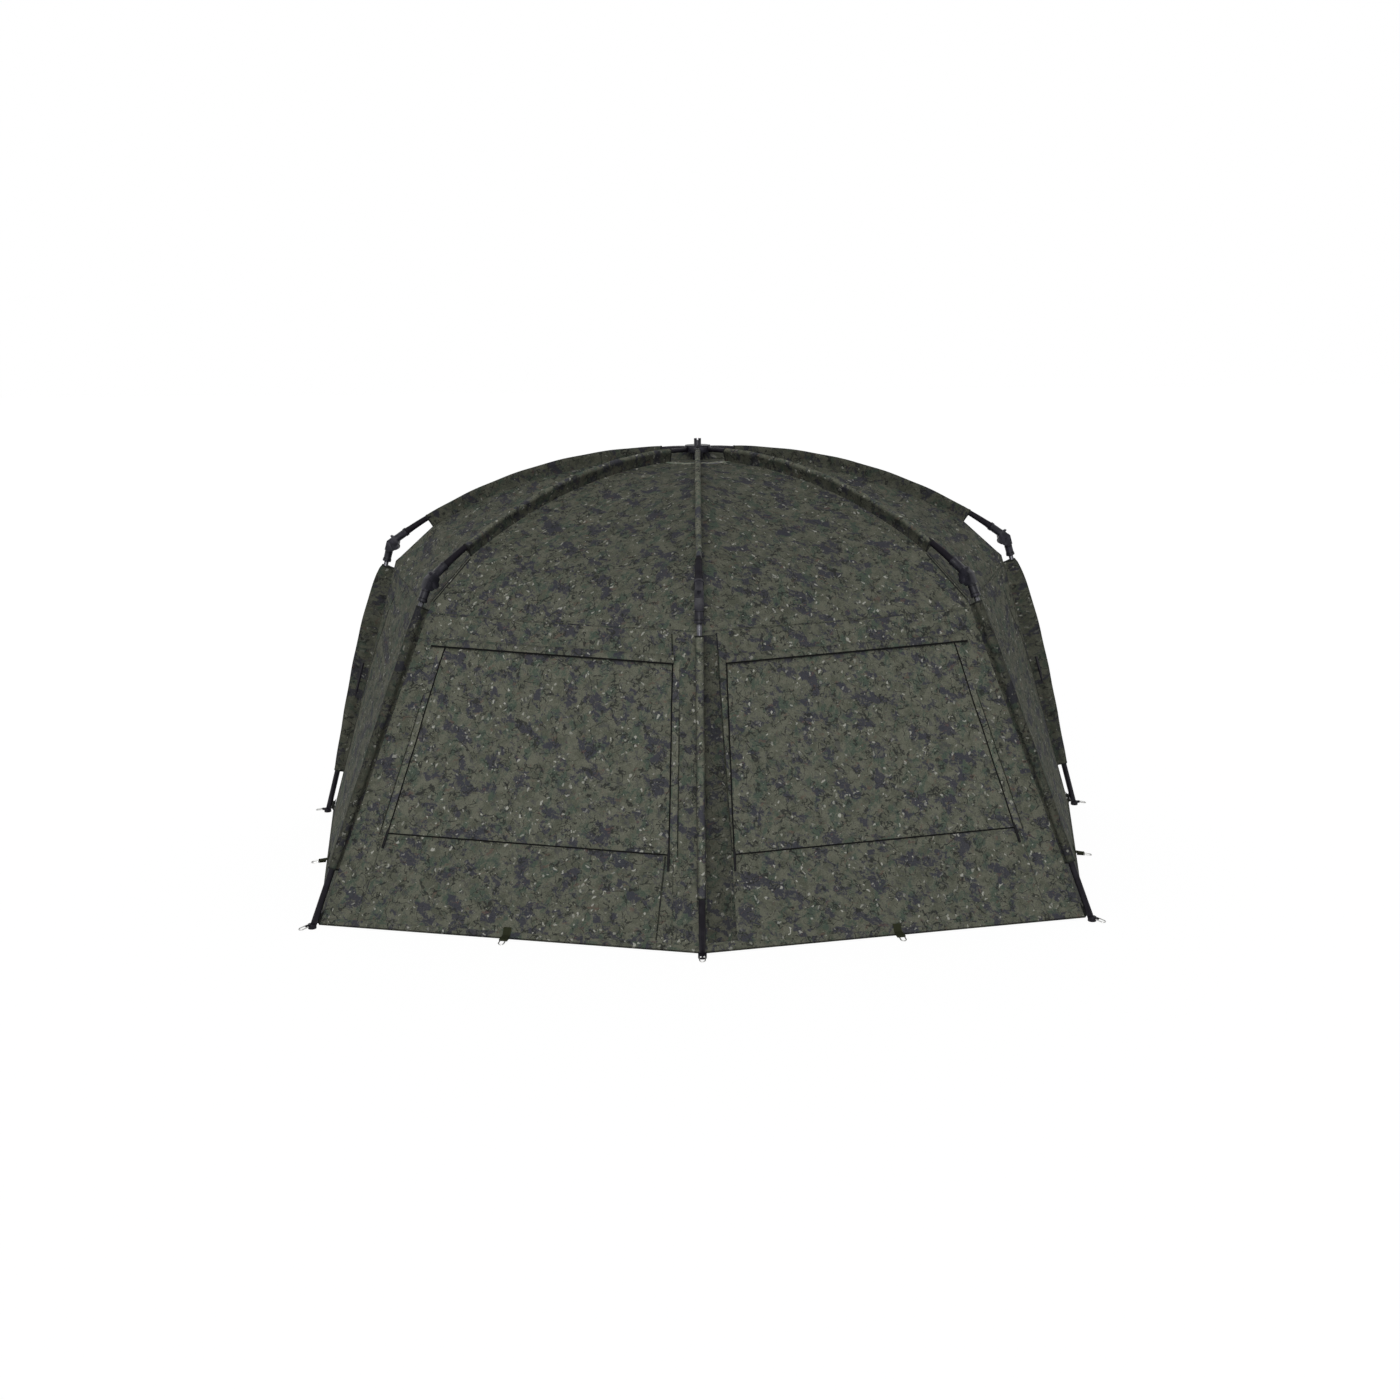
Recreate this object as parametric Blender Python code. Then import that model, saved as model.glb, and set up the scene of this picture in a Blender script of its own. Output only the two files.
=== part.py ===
# Bivvy tent: a hub, five jointed ribs that stand on the ground, two short front ribs,
# and a sewn canopy that hangs just inside the ribs. Metres, +Z up, the rear faces -Y.
# Each rib is drawn in its own upright plane: first coordinate outwards, second coordinate up.
import math

import bmesh
import bpy
from mathutils import Vector

for old_object in list(bpy.data.objects):
    bpy.data.objects.remove(old_object, do_unlink=True)

# Frame lines, measured from the upright axis of the hub
HUB_PIVOT_HEIGHT = 1.350
HUB_PIVOT_RADIUS = 0.040
KNEE_RADIUS = 1.110
KNEE_HEIGHT = 1.016
UPPER_POLE_BOW = 0.092
REAR_FOOT_RADIUS = 1.309
CORNER_FOOT_RADIUS = 1.583
SIDE_FOOT_RADIUS = 1.408
FRONT_TIP_RADIUS = 0.800
FRONT_TIP_HEIGHT = 1.215
FRONT_POLE_BOW = 0.025
CORNER_RIB_ANGLE = math.radians(48.7)
SIDE_RIB_ANGLE = math.radians(96.0)
FRONT_RIB_ANGLE = math.radians(148.0)

# Clearances
CONTACT_GAP = 0.0003
RUNNING_GAP = 0.0006
CUT_OVERRUN = 0.002

# Poles
POLE_RADIUS = 0.0080
POLE_SIDES = 8
LEG_TUBE_RADIUS = 0.0098
LEG_TUBE_LENGTH = 0.600
LEG_TUBE_OVERLAP = 0.180
ARC_STEPS = 12

# Hub
HUB_RADIUS = 0.047
HUB_THICKNESS = 0.020
HUB_SLOT_WIDTH = 0.0072
HUB_SLOT_START = 0.028
HUB_STEM_RADIUS = 0.018
HUB_STEM_LENGTH = 0.036
HUB_SIDES = 28
EYE_THICKNESS = 0.0060
EYE_RADIUS = 0.0078
EYE_LENGTH = 0.032
EYE_TO_POLE = 0.0165
HINGE_PIN_RADIUS = 0.0030
CAP_RADIUS = 0.044
CAP_THICKNESS = 0.0035
KNOB_RADIUS = 0.0125
KNOB_HEIGHT = 0.0230
KNOB_TOOTH_HEIGHT = 0.0060
KNOB_NOTCH_WIDTH = 0.0050
KNOB_NOTCHES = 4

# Knuckles
KNUCKLE_RADIUS = 0.0135
KNUCKLE_SIDES = 16
KNUCKLE_OFFSET = 0.020
KNUCKLE_BLOCK = 0.028
UPPER_SOCKET_LENGTH = 0.073
LOWER_SOCKET_LENGTH = 0.068
STRAIGHT_POLE_END = 0.080
SOCKET_FLOOR = 0.032
COLLAR_RADIUS = 0.0152
COLLAR_LENGTH = 0.008
CHEEK_RADIUS = 0.0125
TONGUE_THICKNESS = 0.0090
TONGUE_RADIUS = 0.0105
LATCH_LENGTH = 0.014
LATCH_HEIGHT = 0.008
LATCH_WIDTH = 0.010
MITRE_GAP = 0.0002

# Feet and peg rings
FOOT_RADIUS = 0.0130
FOOT_HEIGHT = 0.0140
LUG_HEIGHT = 0.0150
LUG_THICKNESS = 0.0060
RING_PIVOT_OUT = 0.0180
RING_PIVOT_HEIGHT = 0.0105
RING_WIRE_RADIUS = 0.0018
RING_HOLE_WALL = 0.0022
RING_WIDTH = 0.020
RING_LENGTH = 0.028
RING_DROP = math.radians(9.0)
RING_ARC_STEPS = 8
TAB_WIDTH = 0.012
TAB_LENGTH = 0.026
TAB_HEIGHT = 0.012

# Canopy
CLOTH_THICKNESS = 0.0030
UPPER_SEAM_DEPTH = 0.036
LOWER_SEAM_DEPTH = 0.032
HEM_SEAM_DEPTH = 0.022
FIN_THICKNESS = 0.0016
SLEEVE_WALL = 0.0018
UPPER_SLEEVE_START = 0.085
UPPER_SLEEVE_END = 0.165
LOWER_SEAM_START = 0.060
LOWER_SLEEVE_START = 0.076
BARE_LEG_LENGTH = 0.170
SEAM_GAP = 0.0008
SEAM_SIDE_GAP = 0.0004
HEM_HEIGHT = 0.004
FRONT_CLOTH_DROP = 0.0090
FRONT_POLE_MARGIN = 0.012
ROOF_ROWS = 8
SCALLOP_SHARE = 0.09

# Windows in the two rear panels, as shares across the panel and down its straight wall
REAR_ACROSS_SHARES = (0.0, 0.088, 0.10, 0.36, 0.62, 0.88, 0.892, 1.0)
SIDE_ACROSS_SHARES = (0.0, 0.17, 0.34, 0.5, 0.66, 0.83, 1.0)
FRONT_ACROSS_SHARES = (0.0, 0.17, 0.34, 0.5, 0.66, 0.83, 1.0)
WALL_DOWN_SHARES = (0.0, 0.125, 0.32, 0.51, 0.71, 1.0)
TRACK_COLUMNS = (1, 6)
WINDOW_COLUMNS = (2, 5)
WINDOW_WALL_ROWS = (1, 4)
WINDOW_COVER_THICKNESS = 0.0020

# Zip sliders
SLIDER_WIDTH = 0.0060
SLIDER_THICKNESS = 0.0045
SLIDER_LENGTH = 0.016
SLIDER_CLEARANCE = 0.0009
PULL_WIDTH = 0.0036
PULL_THICKNESS = 0.0020
PULL_LENGTH = 0.030


def make_material(name, colour, roughness, metallic):
    material = bpy.data.materials.new(name)
    material.use_nodes = True
    shader = material.node_tree.nodes["Principled BSDF"]
    shader.inputs["Base Color"].default_value = (*colour, 1.0)
    shader.inputs["Roughness"].default_value = roughness
    shader.inputs["Metallic"].default_value = metallic
    return material


CAMO_CLOTH = make_material("camo_cloth", (0.062, 0.066, 0.045), 0.85, 0.0)
SLEEVE_CLOTH = make_material("sleeve_cloth", (0.045, 0.048, 0.036), 0.85, 0.0)
WINDOW_CLOTH = make_material("window_cloth", (0.055, 0.060, 0.042), 0.85, 0.0)
BLACK_POLE = make_material("black_pole", (0.012, 0.012, 0.014), 0.45, 0.0)
BLACK_PLASTIC = make_material("black_plastic", (0.010, 0.010, 0.013), 0.5, 0.0)
GREY_POLE = make_material("grey_pole", (0.16, 0.16, 0.17), 0.3, 0.9)
RING_METAL = make_material("ring_metal", (0.50, 0.50, 0.50), 0.3, 1.0)
ZIP_BLACK = make_material("zip_black", (0.010, 0.010, 0.010), 0.5, 0.0)


# Lines in a rib's plane

def turned_left(vector):
    """The same vector, a quarter turn anticlockwise."""
    return Vector((-vector.y, vector.x))


def arc_point(start, end, bow, share):
    """A point on the shallow arc that bows upwards between two points."""
    chord = end - start
    radius = (chord.length ** 2 / 4 + bow ** 2) / (2 * bow)
    along = chord.normalized()
    up = turned_left(along)
    centre = (start + end) / 2 - up * (radius - bow)
    turn = math.asin(chord.length / 2 / radius) * (2 * share - 1)
    return centre + up * radius * math.cos(turn) + along * radius * math.sin(turn)


def arc_length(start, end, bow):
    chord = (end - start).length
    radius = (chord ** 2 / 4 + bow ** 2) / (2 * bow)
    return 2 * radius * math.asin(chord / 2 / radius)


def line_normals(points):
    """The upward normal at each point of a line of points."""
    normals = []
    for index in range(len(points)):
        before = points[max(index - 1, 0)]
        after = points[min(index + 1, len(points) - 1)]
        normals.append(turned_left((after - before).normalized()))
    return normals


class PoleLine:
    """The middle line of a bowed pole, as the straight steps that the pole is made of."""

    def __init__(self, angle, tip, bow, straight_end):
        self.angle = angle
        self.root = Vector((HUB_PIVOT_RADIUS, HUB_PIVOT_HEIGHT))
        self.tip = tip
        self.bow = bow
        self.length = arc_length(self.root, tip, bow)
        span = self.length - straight_end - EYE_TO_POLE
        self.stations = [EYE_TO_POLE + span * step / ARC_STEPS for step in range(ARC_STEPS + 1)]
        self.points = [arc_point(self.root, tip, bow, distance / self.length)
                       for distance in self.stations]

    def at(self, distance):
        """The point of the stepped line at a distance from the hub pivot."""
        for index in range(len(self.stations) - 1):
            low = self.stations[index]
            high = self.stations[index + 1]
            if distance <= high or index == len(self.stations) - 2:
                share = (distance - low) / (high - low)
                return self.points[index].lerp(self.points[index + 1], share)

    def between(self, start, end):
        """The points of the stepped line from one distance to another."""
        inside = [point for point, station in zip(self.points, self.stations) if start < station < end]
        return [self.at(start)] + inside + [self.at(end)]


class Rib:
    """The lines of one rib: its bowed upper pole, its knuckle and its straight leg."""

    def __init__(self, name, angle, foot_radius):
        self.name = name
        self.angle = angle
        self.knee = Vector((KNEE_RADIUS, KNEE_HEIGHT))
        self.foot = Vector((foot_radius, 0.0))
        self.pole = PoleLine(angle, self.knee, UPPER_POLE_BOW, STRAIGHT_POLE_END)
        self.root = self.pole.root
        self.leg_length = (self.foot - self.knee).length
        self.down = (self.foot - self.knee).normalized()
        self.leg_out = turned_left(self.down)
        self.back = (self.pole.points[-1] - self.knee).normalized()
        self.upper_out = -turned_left(self.back)
        half_angle = self.back.angle(self.down) / 2
        self.inward = (self.back + self.down).normalized()
        self.mitre_normal = turned_left(self.inward)
        if self.mitre_normal.dot(self.back) < 0:
            self.mitre_normal = -self.mitre_normal
        self.pivot = self.knee + self.inward * KNUCKLE_OFFSET / math.sin(half_angle)
        self.mitre_reach = KNUCKLE_RADIUS / math.sin(half_angle)
        self.seam_end = self.foot + Vector((-HEM_SEAM_DEPTH / self.leg_out.x, HEM_HEIGHT))

    def leg(self, distance):
        """A point on the leg's middle line, by its distance below the knee."""
        return self.knee + self.down * distance

    def wall_top(self):
        return self.leg(LOWER_SEAM_START) - self.leg_out * LOWER_SEAM_DEPTH

    def wall(self, share):
        """A point of the seam on the straight wall, by its share of the way down."""
        return self.wall_top().lerp(self.seam_end, share)

    def wall_depth(self, point):
        """How far inside the leg's middle line a point of the wall's seam lies."""
        return (self.knee - point).dot(self.leg_out)

    def roof(self):
        """The points of the seam under the upper pole, from the hub outwards."""
        end = self.pole.length - UPPER_SLEEVE_END
        line = []
        for row in range(ROOF_ROWS + 1):
            distance = UPPER_SLEEVE_START + (end - UPPER_SLEEVE_START) * row / ROOF_ROWS
            line.append(arc_point(self.root, self.knee, self.pole.bow, distance / self.pole.length))
        normals = line_normals(line)
        return [point - normal * UPPER_SEAM_DEPTH for point, normal in zip(line, normals)]


RIBS = [
    Rib("rear_centre", 0.0, REAR_FOOT_RADIUS),
    Rib("rear_right", CORNER_RIB_ANGLE, CORNER_FOOT_RADIUS),
    Rib("rear_left", -CORNER_RIB_ANGLE, CORNER_FOOT_RADIUS),
    Rib("side_right", SIDE_RIB_ANGLE, SIDE_FOOT_RADIUS),
    Rib("side_left", -SIDE_RIB_ANGLE, SIDE_FOOT_RADIUS),
]
REAR_CENTRE, REAR_RIGHT, REAR_LEFT, SIDE_RIGHT, SIDE_LEFT = RIBS
FRONT_TIP = Vector((FRONT_TIP_RADIUS, FRONT_TIP_HEIGHT))
FRONT_RIGHT = PoleLine(FRONT_RIB_ANGLE, FRONT_TIP, FRONT_POLE_BOW, FRONT_POLE_MARGIN)
FRONT_LEFT = PoleLine(-FRONT_RIB_ANGLE, FRONT_TIP, FRONT_POLE_BOW, FRONT_POLE_MARGIN)


# Making objects

def finish(name, bm, material, parent, origin):
    """Make an object from a mesh drawn in its parent's plane, with its origin on the parent."""
    bmesh.ops.recalc_face_normals(bm, faces=bm.faces)
    bmesh.ops.translate(bm, verts=bm.verts, vec=-origin)
    mesh = bpy.data.meshes.new(name)
    bm.to_mesh(mesh)
    bm.free()
    mesh.shade_smooth()
    mesh.set_sharp_from_angle(angle=math.radians(35))
    body = bpy.data.objects.new(name, mesh)
    bpy.context.scene.collection.objects.link(body)
    mesh.materials.append(material)
    body.parent = parent
    return body


def apply_shape(body, suffix, bm, parent, origin, operation):
    """Join a shape to a body, or cut it out."""
    tool = finish(body.name + suffix, bm, body.data.materials[0], parent, origin)
    tool.hide_render = True
    tool.display_type = "WIRE"
    boolean = body.modifiers.new(tool.name, "BOOLEAN")
    boolean.operation = operation
    boolean.solver = "EXACT"
    boolean.object = tool


def make_empty(name, parent, place, turn=0.0):
    empty = bpy.data.objects.new(name, None)
    bpy.context.scene.collection.objects.link(empty)
    empty.parent = parent
    empty.location = place
    empty.rotation_euler.z = turn
    empty.hide_render = True
    return empty


def flat(point, across=0.0):
    """A point of a rib's plane as a point of space, moved sideways by across."""
    return Vector((point.x, across, point.y))


def skin(bm, rings):
    """Join rings of vertices into a tube and close its ends."""
    count = len(rings[0])
    for first, second in zip(rings, rings[1:]):
        for index in range(count):
            after = (index + 1) % count
            bm.faces.new((first[index], first[after], second[after], second[index]))
    bm.faces.new(rings[0])
    bm.faces.new(rings[-1])


def rod(bm, points, radius, sides):
    """A round bar along points of a rib's plane."""
    rings = []
    for point, normal in zip(points, line_normals(points)):
        ring = []
        for side in range(sides):
            turn = 2 * math.pi * (side + 0.5) / sides
            place = point + normal * radius * math.cos(turn)
            ring.append(bm.verts.new(flat(place, radius * math.sin(turn))))
        rings.append(ring)
    skin(bm, rings)


def cross_pin(bm, centre, radius, half_width, sides):
    """A round pin square to a rib's plane."""
    rings = []
    for across in (-half_width, half_width):
        ring = []
        for side in range(sides):
            turn = 2 * math.pi * (side + 0.5) / sides
            place = centre + Vector((math.cos(turn), math.sin(turn))) * radius
            ring.append(bm.verts.new(flat(place, across)))
        rings.append(ring)
    skin(bm, rings)


def prism(bm, outline, half_width):
    """An outline of a rib's plane, given a thickness."""
    rings = []
    for across in (-half_width, half_width):
        rings.append([bm.verts.new(flat(point, across)) for point in outline])
    skin(bm, rings)


def drum(bm, centre, radius, low, high, sides):
    """An upright round drum, which stands at a place along the plane."""
    rings = []
    for height in (low, high):
        ring = []
        for side in range(sides):
            turn = 2 * math.pi * (side + 0.5) / sides
            ring.append(bm.verts.new((centre + radius * math.cos(turn), radius * math.sin(turn), height)))
        rings.append(ring)
    skin(bm, rings)


def block(bm, low, high):
    rings = []
    for height in (low[2], high[2]):
        corners = ((low[0], low[1]), (high[0], low[1]), (high[0], high[1]), (low[0], high[1]))
        rings.append([bm.verts.new((x, y, height)) for x, y in corners])
    skin(bm, rings)


def round_end(centre, radius, towards, steps=6):
    """A half circle about a centre, on the side that faces away from a direction."""
    start = math.atan2(towards.y, towards.x) + math.pi / 2
    points = []
    for step in range(steps + 1):
        turn = start + math.pi * step / steps
        points.append(centre + Vector((math.cos(turn), math.sin(turn))) * radius)
    return points


# Hub

def make_hub(centre):
    origin = Vector((0.0, 0.0, HUB_PIVOT_HEIGHT))
    low = HUB_PIVOT_HEIGHT - HUB_THICKNESS / 2
    high = HUB_PIVOT_HEIGHT + HUB_THICKNESS / 2
    axis = make_empty("hub_axis", centre, origin)
    bm = bmesh.new()
    drum(bm, 0.0, HUB_RADIUS, low, high, HUB_SIDES)
    hub = finish("hub_body", bm, BLACK_PLASTIC, axis, origin)
    bm = bmesh.new()
    drum(bm, 0.0, HUB_STEM_RADIUS, low - HUB_STEM_LENGTH, low + HUB_THICKNESS / 4, HUB_SIDES)
    apply_shape(hub, "_stem", bm, axis, origin, "UNION")
    turns = []
    lines = RIBS + [FRONT_RIGHT, FRONT_LEFT]
    for index, line in enumerate(lines):
        turn = make_empty("hub_slot_turn_%d" % index, axis, (0.0, 0.0, 0.0), line.angle - math.pi / 2)
        turns.append(turn)
        bm = bmesh.new()
        half = HUB_SLOT_WIDTH / 2
        block(bm, (HUB_SLOT_START, -half, low - CUT_OVERRUN),
              (HUB_RADIUS + CUT_OVERRUN, half, high + CUT_OVERRUN))
        apply_shape(hub, "_slot_%d" % index, bm, turn, origin, "DIFFERENCE")
    for index, turn in enumerate(turns):
        bm = bmesh.new()
        cross_pin(bm, REAR_CENTRE.root, HINGE_PIN_RADIUS, HUB_SLOT_WIDTH / 2 + CUT_OVERRUN, POLE_SIDES)
        apply_shape(hub, "_pin_%d" % index, bm, turn, origin, "UNION")
    make_hub_cap(axis, origin, high + CONTACT_GAP)


def make_hub_cap(axis, origin, seat):
    bm = bmesh.new()
    drum(bm, 0.0, CAP_RADIUS, seat, seat + CAP_THICKNESS, HUB_SIDES)
    cap = finish("hub_cap", bm, BLACK_PLASTIC, axis, origin)
    top = seat + CAP_THICKNESS + KNOB_HEIGHT
    bm = bmesh.new()
    drum(bm, 0.0, KNOB_RADIUS, seat + CAP_THICKNESS / 2, top, KNUCKLE_SIDES)
    apply_shape(cap, "_knob", bm, axis, origin, "UNION")
    for notch in range(KNOB_NOTCHES):
        turn = make_empty("knob_turn_%d" % notch, axis, (0.0, 0.0, 0.0), math.pi * notch / KNOB_NOTCHES)
        bm = bmesh.new()
        half = KNOB_NOTCH_WIDTH / 2
        reach = KNOB_RADIUS + CUT_OVERRUN
        block(bm, (-reach, -half, top - KNOB_TOOTH_HEIGHT), (reach, half, top + CUT_OVERRUN))
        apply_shape(cap, "_notch_%d" % notch, bm, turn, origin, "DIFFERENCE")


# Ribs

def make_upper_pole(name, line, last_points, parent, origin):
    """A bowed pole with a flat eye that hinges on the hub."""
    bm = bmesh.new()
    rod(bm, line.points + last_points, POLE_RADIUS, POLE_SIDES)
    pole = finish(name, bm, BLACK_POLE, parent, origin)
    along = (line.at(EYE_LENGTH) - line.root).normalized()
    side = turned_left(along) * EYE_RADIUS
    far = line.root + along * EYE_LENGTH
    bm = bmesh.new()
    prism(bm, round_end(line.root, EYE_RADIUS, along) + [far - side, far + side], EYE_THICKNESS / 2)
    apply_shape(pole, "_eye", bm, parent, origin, "UNION")
    bm = bmesh.new()
    cross_pin(bm, line.root, HINGE_PIN_RADIUS + CONTACT_GAP, EYE_THICKNESS, POLE_SIDES)
    apply_shape(pole, "_eye_hole", bm, parent, origin, "DIFFERENCE")


def make_socket(name, rib, direction, out, far, gap, parent, origin):
    """One half of a knuckle: a round socket that runs into a mitred block."""
    shoulder = rib.knee + direction * KNUCKLE_BLOCK
    bm = bmesh.new()
    rod(bm, [shoulder - direction * KNUCKLE_BLOCK / 2, rib.knee + direction * far],
        KNUCKLE_RADIUS, KNUCKLE_SIDES)
    knuckle = finish(name, bm, BLACK_PLASTIC, parent, origin)
    bm = bmesh.new()
    rod(bm, [rib.knee + direction * (far - COLLAR_LENGTH), rib.knee + direction * (far + CONTACT_GAP)],
        COLLAR_RADIUS, KNUCKLE_SIDES)
    apply_shape(knuckle, "_collar", bm, parent, origin, "UNION")
    outline = [
        rib.knee - rib.inward * rib.mitre_reach + gap,
        shoulder + out * KNUCKLE_RADIUS,
        shoulder - out * KNUCKLE_RADIUS,
        rib.pivot + direction * (CHEEK_RADIUS + CUT_OVERRUN),
        rib.pivot + gap,
    ]
    bm = bmesh.new()
    prism(bm, outline, KNUCKLE_RADIUS)
    apply_shape(knuckle, "_block", bm, parent, origin, "UNION")
    return knuckle


def bore_socket(knuckle, rib, direction, far, parent, origin):
    bm = bmesh.new()
    rod(bm, [rib.knee + direction * SOCKET_FLOOR, rib.knee + direction * (far + CUT_OVERRUN)],
        POLE_RADIUS + CONTACT_GAP, POLE_SIDES)
    apply_shape(knuckle, "_bore", bm, parent, origin, "DIFFERENCE")


def make_knuckle_upper(rib, parent, origin):
    gap = rib.mitre_normal * MITRE_GAP
    knuckle = make_socket(rib.name + "_knuckle_upper", rib, rib.back, rib.upper_out,
                          UPPER_SOCKET_LENGTH, gap, parent, origin)
    bm = bmesh.new()
    cross_pin(bm, rib.pivot, CHEEK_RADIUS, KNUCKLE_RADIUS - CONTACT_GAP, KNUCKLE_SIDES)
    apply_shape(knuckle, "_cheeks", bm, parent, origin, "UNION")
    latch = rib.knee + rib.back * KNUCKLE_BLOCK / 2
    low = rib.upper_out * KNUCKLE_RADIUS / 2
    high = rib.upper_out * (KNUCKLE_RADIUS + LATCH_HEIGHT)
    bm = bmesh.new()
    prism(bm, [latch + low, latch + high, latch + rib.back * LATCH_LENGTH / 3 + high,
               latch + rib.back * LATCH_LENGTH + low], LATCH_WIDTH / 2)
    apply_shape(knuckle, "_latch", bm, parent, origin, "UNION")
    bm = bmesh.new()
    cross_pin(bm, rib.pivot, CHEEK_RADIUS + CUT_OVERRUN, TONGUE_THICKNESS / 2 + CONTACT_GAP,
              KNUCKLE_SIDES)
    apply_shape(knuckle, "_slot", bm, parent, origin, "DIFFERENCE")
    bore_socket(knuckle, rib, rib.back, UPPER_SOCKET_LENGTH, parent, origin)
    bm = bmesh.new()
    cross_pin(bm, rib.pivot, HINGE_PIN_RADIUS, TONGUE_THICKNESS / 2 + CUT_OVERRUN, POLE_SIDES)
    apply_shape(knuckle, "_pin", bm, parent, origin, "UNION")


def make_knuckle_lower(rib, parent, origin):
    gap = rib.mitre_normal * -MITRE_GAP
    knuckle = make_socket(rib.name + "_knuckle_lower", rib, rib.down, rib.leg_out,
                          LOWER_SOCKET_LENGTH, gap, parent, origin)
    bm = bmesh.new()
    cross_pin(bm, rib.pivot, CHEEK_RADIUS + RUNNING_GAP, KNUCKLE_RADIUS + CUT_OVERRUN, KNUCKLE_SIDES)
    apply_shape(knuckle, "_relief", bm, parent, origin, "DIFFERENCE")
    inner = rib.knee + rib.down * KNUCKLE_BLOCK - rib.leg_out * KNUCKLE_RADIUS / 2
    outer = rib.knee + rib.down * COLLAR_LENGTH / 2
    bm = bmesh.new()
    prism(bm, round_end(rib.pivot, TONGUE_RADIUS, rib.down) + [inner, outer], TONGUE_THICKNESS / 2)
    apply_shape(knuckle, "_tongue", bm, parent, origin, "UNION")
    bm = bmesh.new()
    cross_pin(bm, rib.pivot, HINGE_PIN_RADIUS + CONTACT_GAP, KNUCKLE_RADIUS, POLE_SIDES)
    apply_shape(knuckle, "_hole", bm, parent, origin, "DIFFERENCE")
    bore_socket(knuckle, rib, rib.down, LOWER_SOCKET_LENGTH, parent, origin)


def make_lower_pole(rib, parent, origin):
    tube_top = rib.leg_length - LEG_TUBE_LENGTH
    bm = bmesh.new()
    rod(bm, [rib.leg(SOCKET_FLOOR + CONTACT_GAP), rib.leg(tube_top + LEG_TUBE_OVERLAP)],
        POLE_RADIUS, POLE_SIDES)
    finish(rib.name + "_lower_pole", bm, GREY_POLE, parent, origin)


def make_leg_tube(rib, parent, origin):
    """A black tube that slips over the grey pole and ends in a foot with a ring lug."""
    tube_top = rib.leg_length - LEG_TUBE_LENGTH
    bm = bmesh.new()
    rod(bm, [rib.leg(tube_top), rib.leg(rib.leg_length - FOOT_HEIGHT / 2)], LEG_TUBE_RADIUS, POLE_SIDES)
    tube = finish(rib.name + "_leg_tube", bm, BLACK_POLE, parent, origin)
    bm = bmesh.new()
    drum(bm, rib.foot.x, FOOT_RADIUS, 0.0, FOOT_HEIGHT, KNUCKLE_SIDES)
    apply_shape(tube, "_foot", bm, parent, origin, "UNION")
    pivot = Vector((rib.foot.x + RING_PIVOT_OUT, RING_PIVOT_HEIGHT))
    eye = RING_WIRE_RADIUS + CONTACT_GAP + RING_HOLE_WALL
    inwards = Vector((-1.0, 0.0))
    low = RING_PIVOT_HEIGHT - eye
    bm = bmesh.new()
    prism(bm, round_end(pivot, eye, inwards) + [Vector((rib.foot.x, low + LUG_HEIGHT)),
                                                Vector((rib.foot.x, low))], LUG_THICKNESS / 2)
    apply_shape(tube, "_lug", bm, parent, origin, "UNION")
    bm = bmesh.new()
    cross_pin(bm, pivot, RING_WIRE_RADIUS + CONTACT_GAP, LUG_THICKNESS, POLE_SIDES)
    apply_shape(tube, "_lug_hole", bm, parent, origin, "DIFFERENCE")
    bm = bmesh.new()
    rod(bm, [rib.leg(tube_top - CUT_OVERRUN), rib.leg(rib.leg_length - FOOT_HEIGHT - CUT_OVERRUN)],
        POLE_RADIUS + CONTACT_GAP, POLE_SIDES)
    apply_shape(tube, "_bore", bm, parent, origin, "DIFFERENCE")


def make_sleeve(name, points, depths, bore, parent, origin):
    """A cloth sleeve: a round bore for the pole, drawn down to a thin fin that meets the seam."""
    bm = bmesh.new()
    outer_rings = []
    inner_rings = []
    for point, normal, depth in zip(points, line_normals(points), depths):
        outer = []
        inner = []
        for side in range(POLE_SIDES):
            turn = 2 * math.pi * (side + 0.5) / POLE_SIDES
            lift = math.cos(turn)
            sideways = math.sin(turn)
            inner.append(bm.verts.new(flat(point + normal * bore * lift, bore * sideways)))
            reach = bore + SLEEVE_WALL
            place = flat(point + normal * reach * lift, reach * sideways)
            if side in (POLE_SIDES // 2 - 1, POLE_SIDES // 2):
                place = flat(point - normal * depth, math.copysign(FIN_THICKNESS / 2, sideways))
            outer.append(bm.verts.new(place))
        outer_rings.append(outer)
        inner_rings.append(inner)
    last = len(points) - 1
    for side in range(POLE_SIDES):
        after = (side + 1) % POLE_SIDES
        for rings in (outer_rings, inner_rings):
            for first, second in zip(rings, rings[1:]):
                bm.faces.new((first[side], first[after], second[after], second[side]))
        for row in (0, last):
            bm.faces.new((outer_rings[row][side], outer_rings[row][after],
                          inner_rings[row][after], inner_rings[row][side]))
    finish(name, bm, SLEEVE_CLOTH, parent, origin)


def make_sleeves(rib, upper, upper_origin, lower, lower_origin):
    bore = POLE_RADIUS + CONTACT_GAP / math.cos(math.pi / POLE_SIDES)
    points = rib.pole.between(UPPER_SLEEVE_START, rib.pole.length - UPPER_SLEEVE_END)
    depths = [UPPER_SEAM_DEPTH - SEAM_GAP] * len(points)
    make_sleeve(rib.name + "_upper_sleeve", points, depths, bore, upper, upper_origin)
    bore = LEG_TUBE_RADIUS + CONTACT_GAP / math.cos(math.pi / POLE_SIDES)
    points = [rib.leg(LOWER_SLEEVE_START), rib.leg(rib.leg_length - BARE_LEG_LENGTH)]
    depths = []
    wall_slope = (rib.wall_depth(rib.wall(1.0)) - LOWER_SEAM_DEPTH) / (rib.leg_length - LOWER_SEAM_START)
    for point in points:
        distance = (point - rib.knee).length
        depths.append(LOWER_SEAM_DEPTH + wall_slope * (distance - LOWER_SEAM_START) - SEAM_GAP)
    make_sleeve(rib.name + "_lower_sleeve", points, depths, bore, lower, lower_origin)


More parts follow.
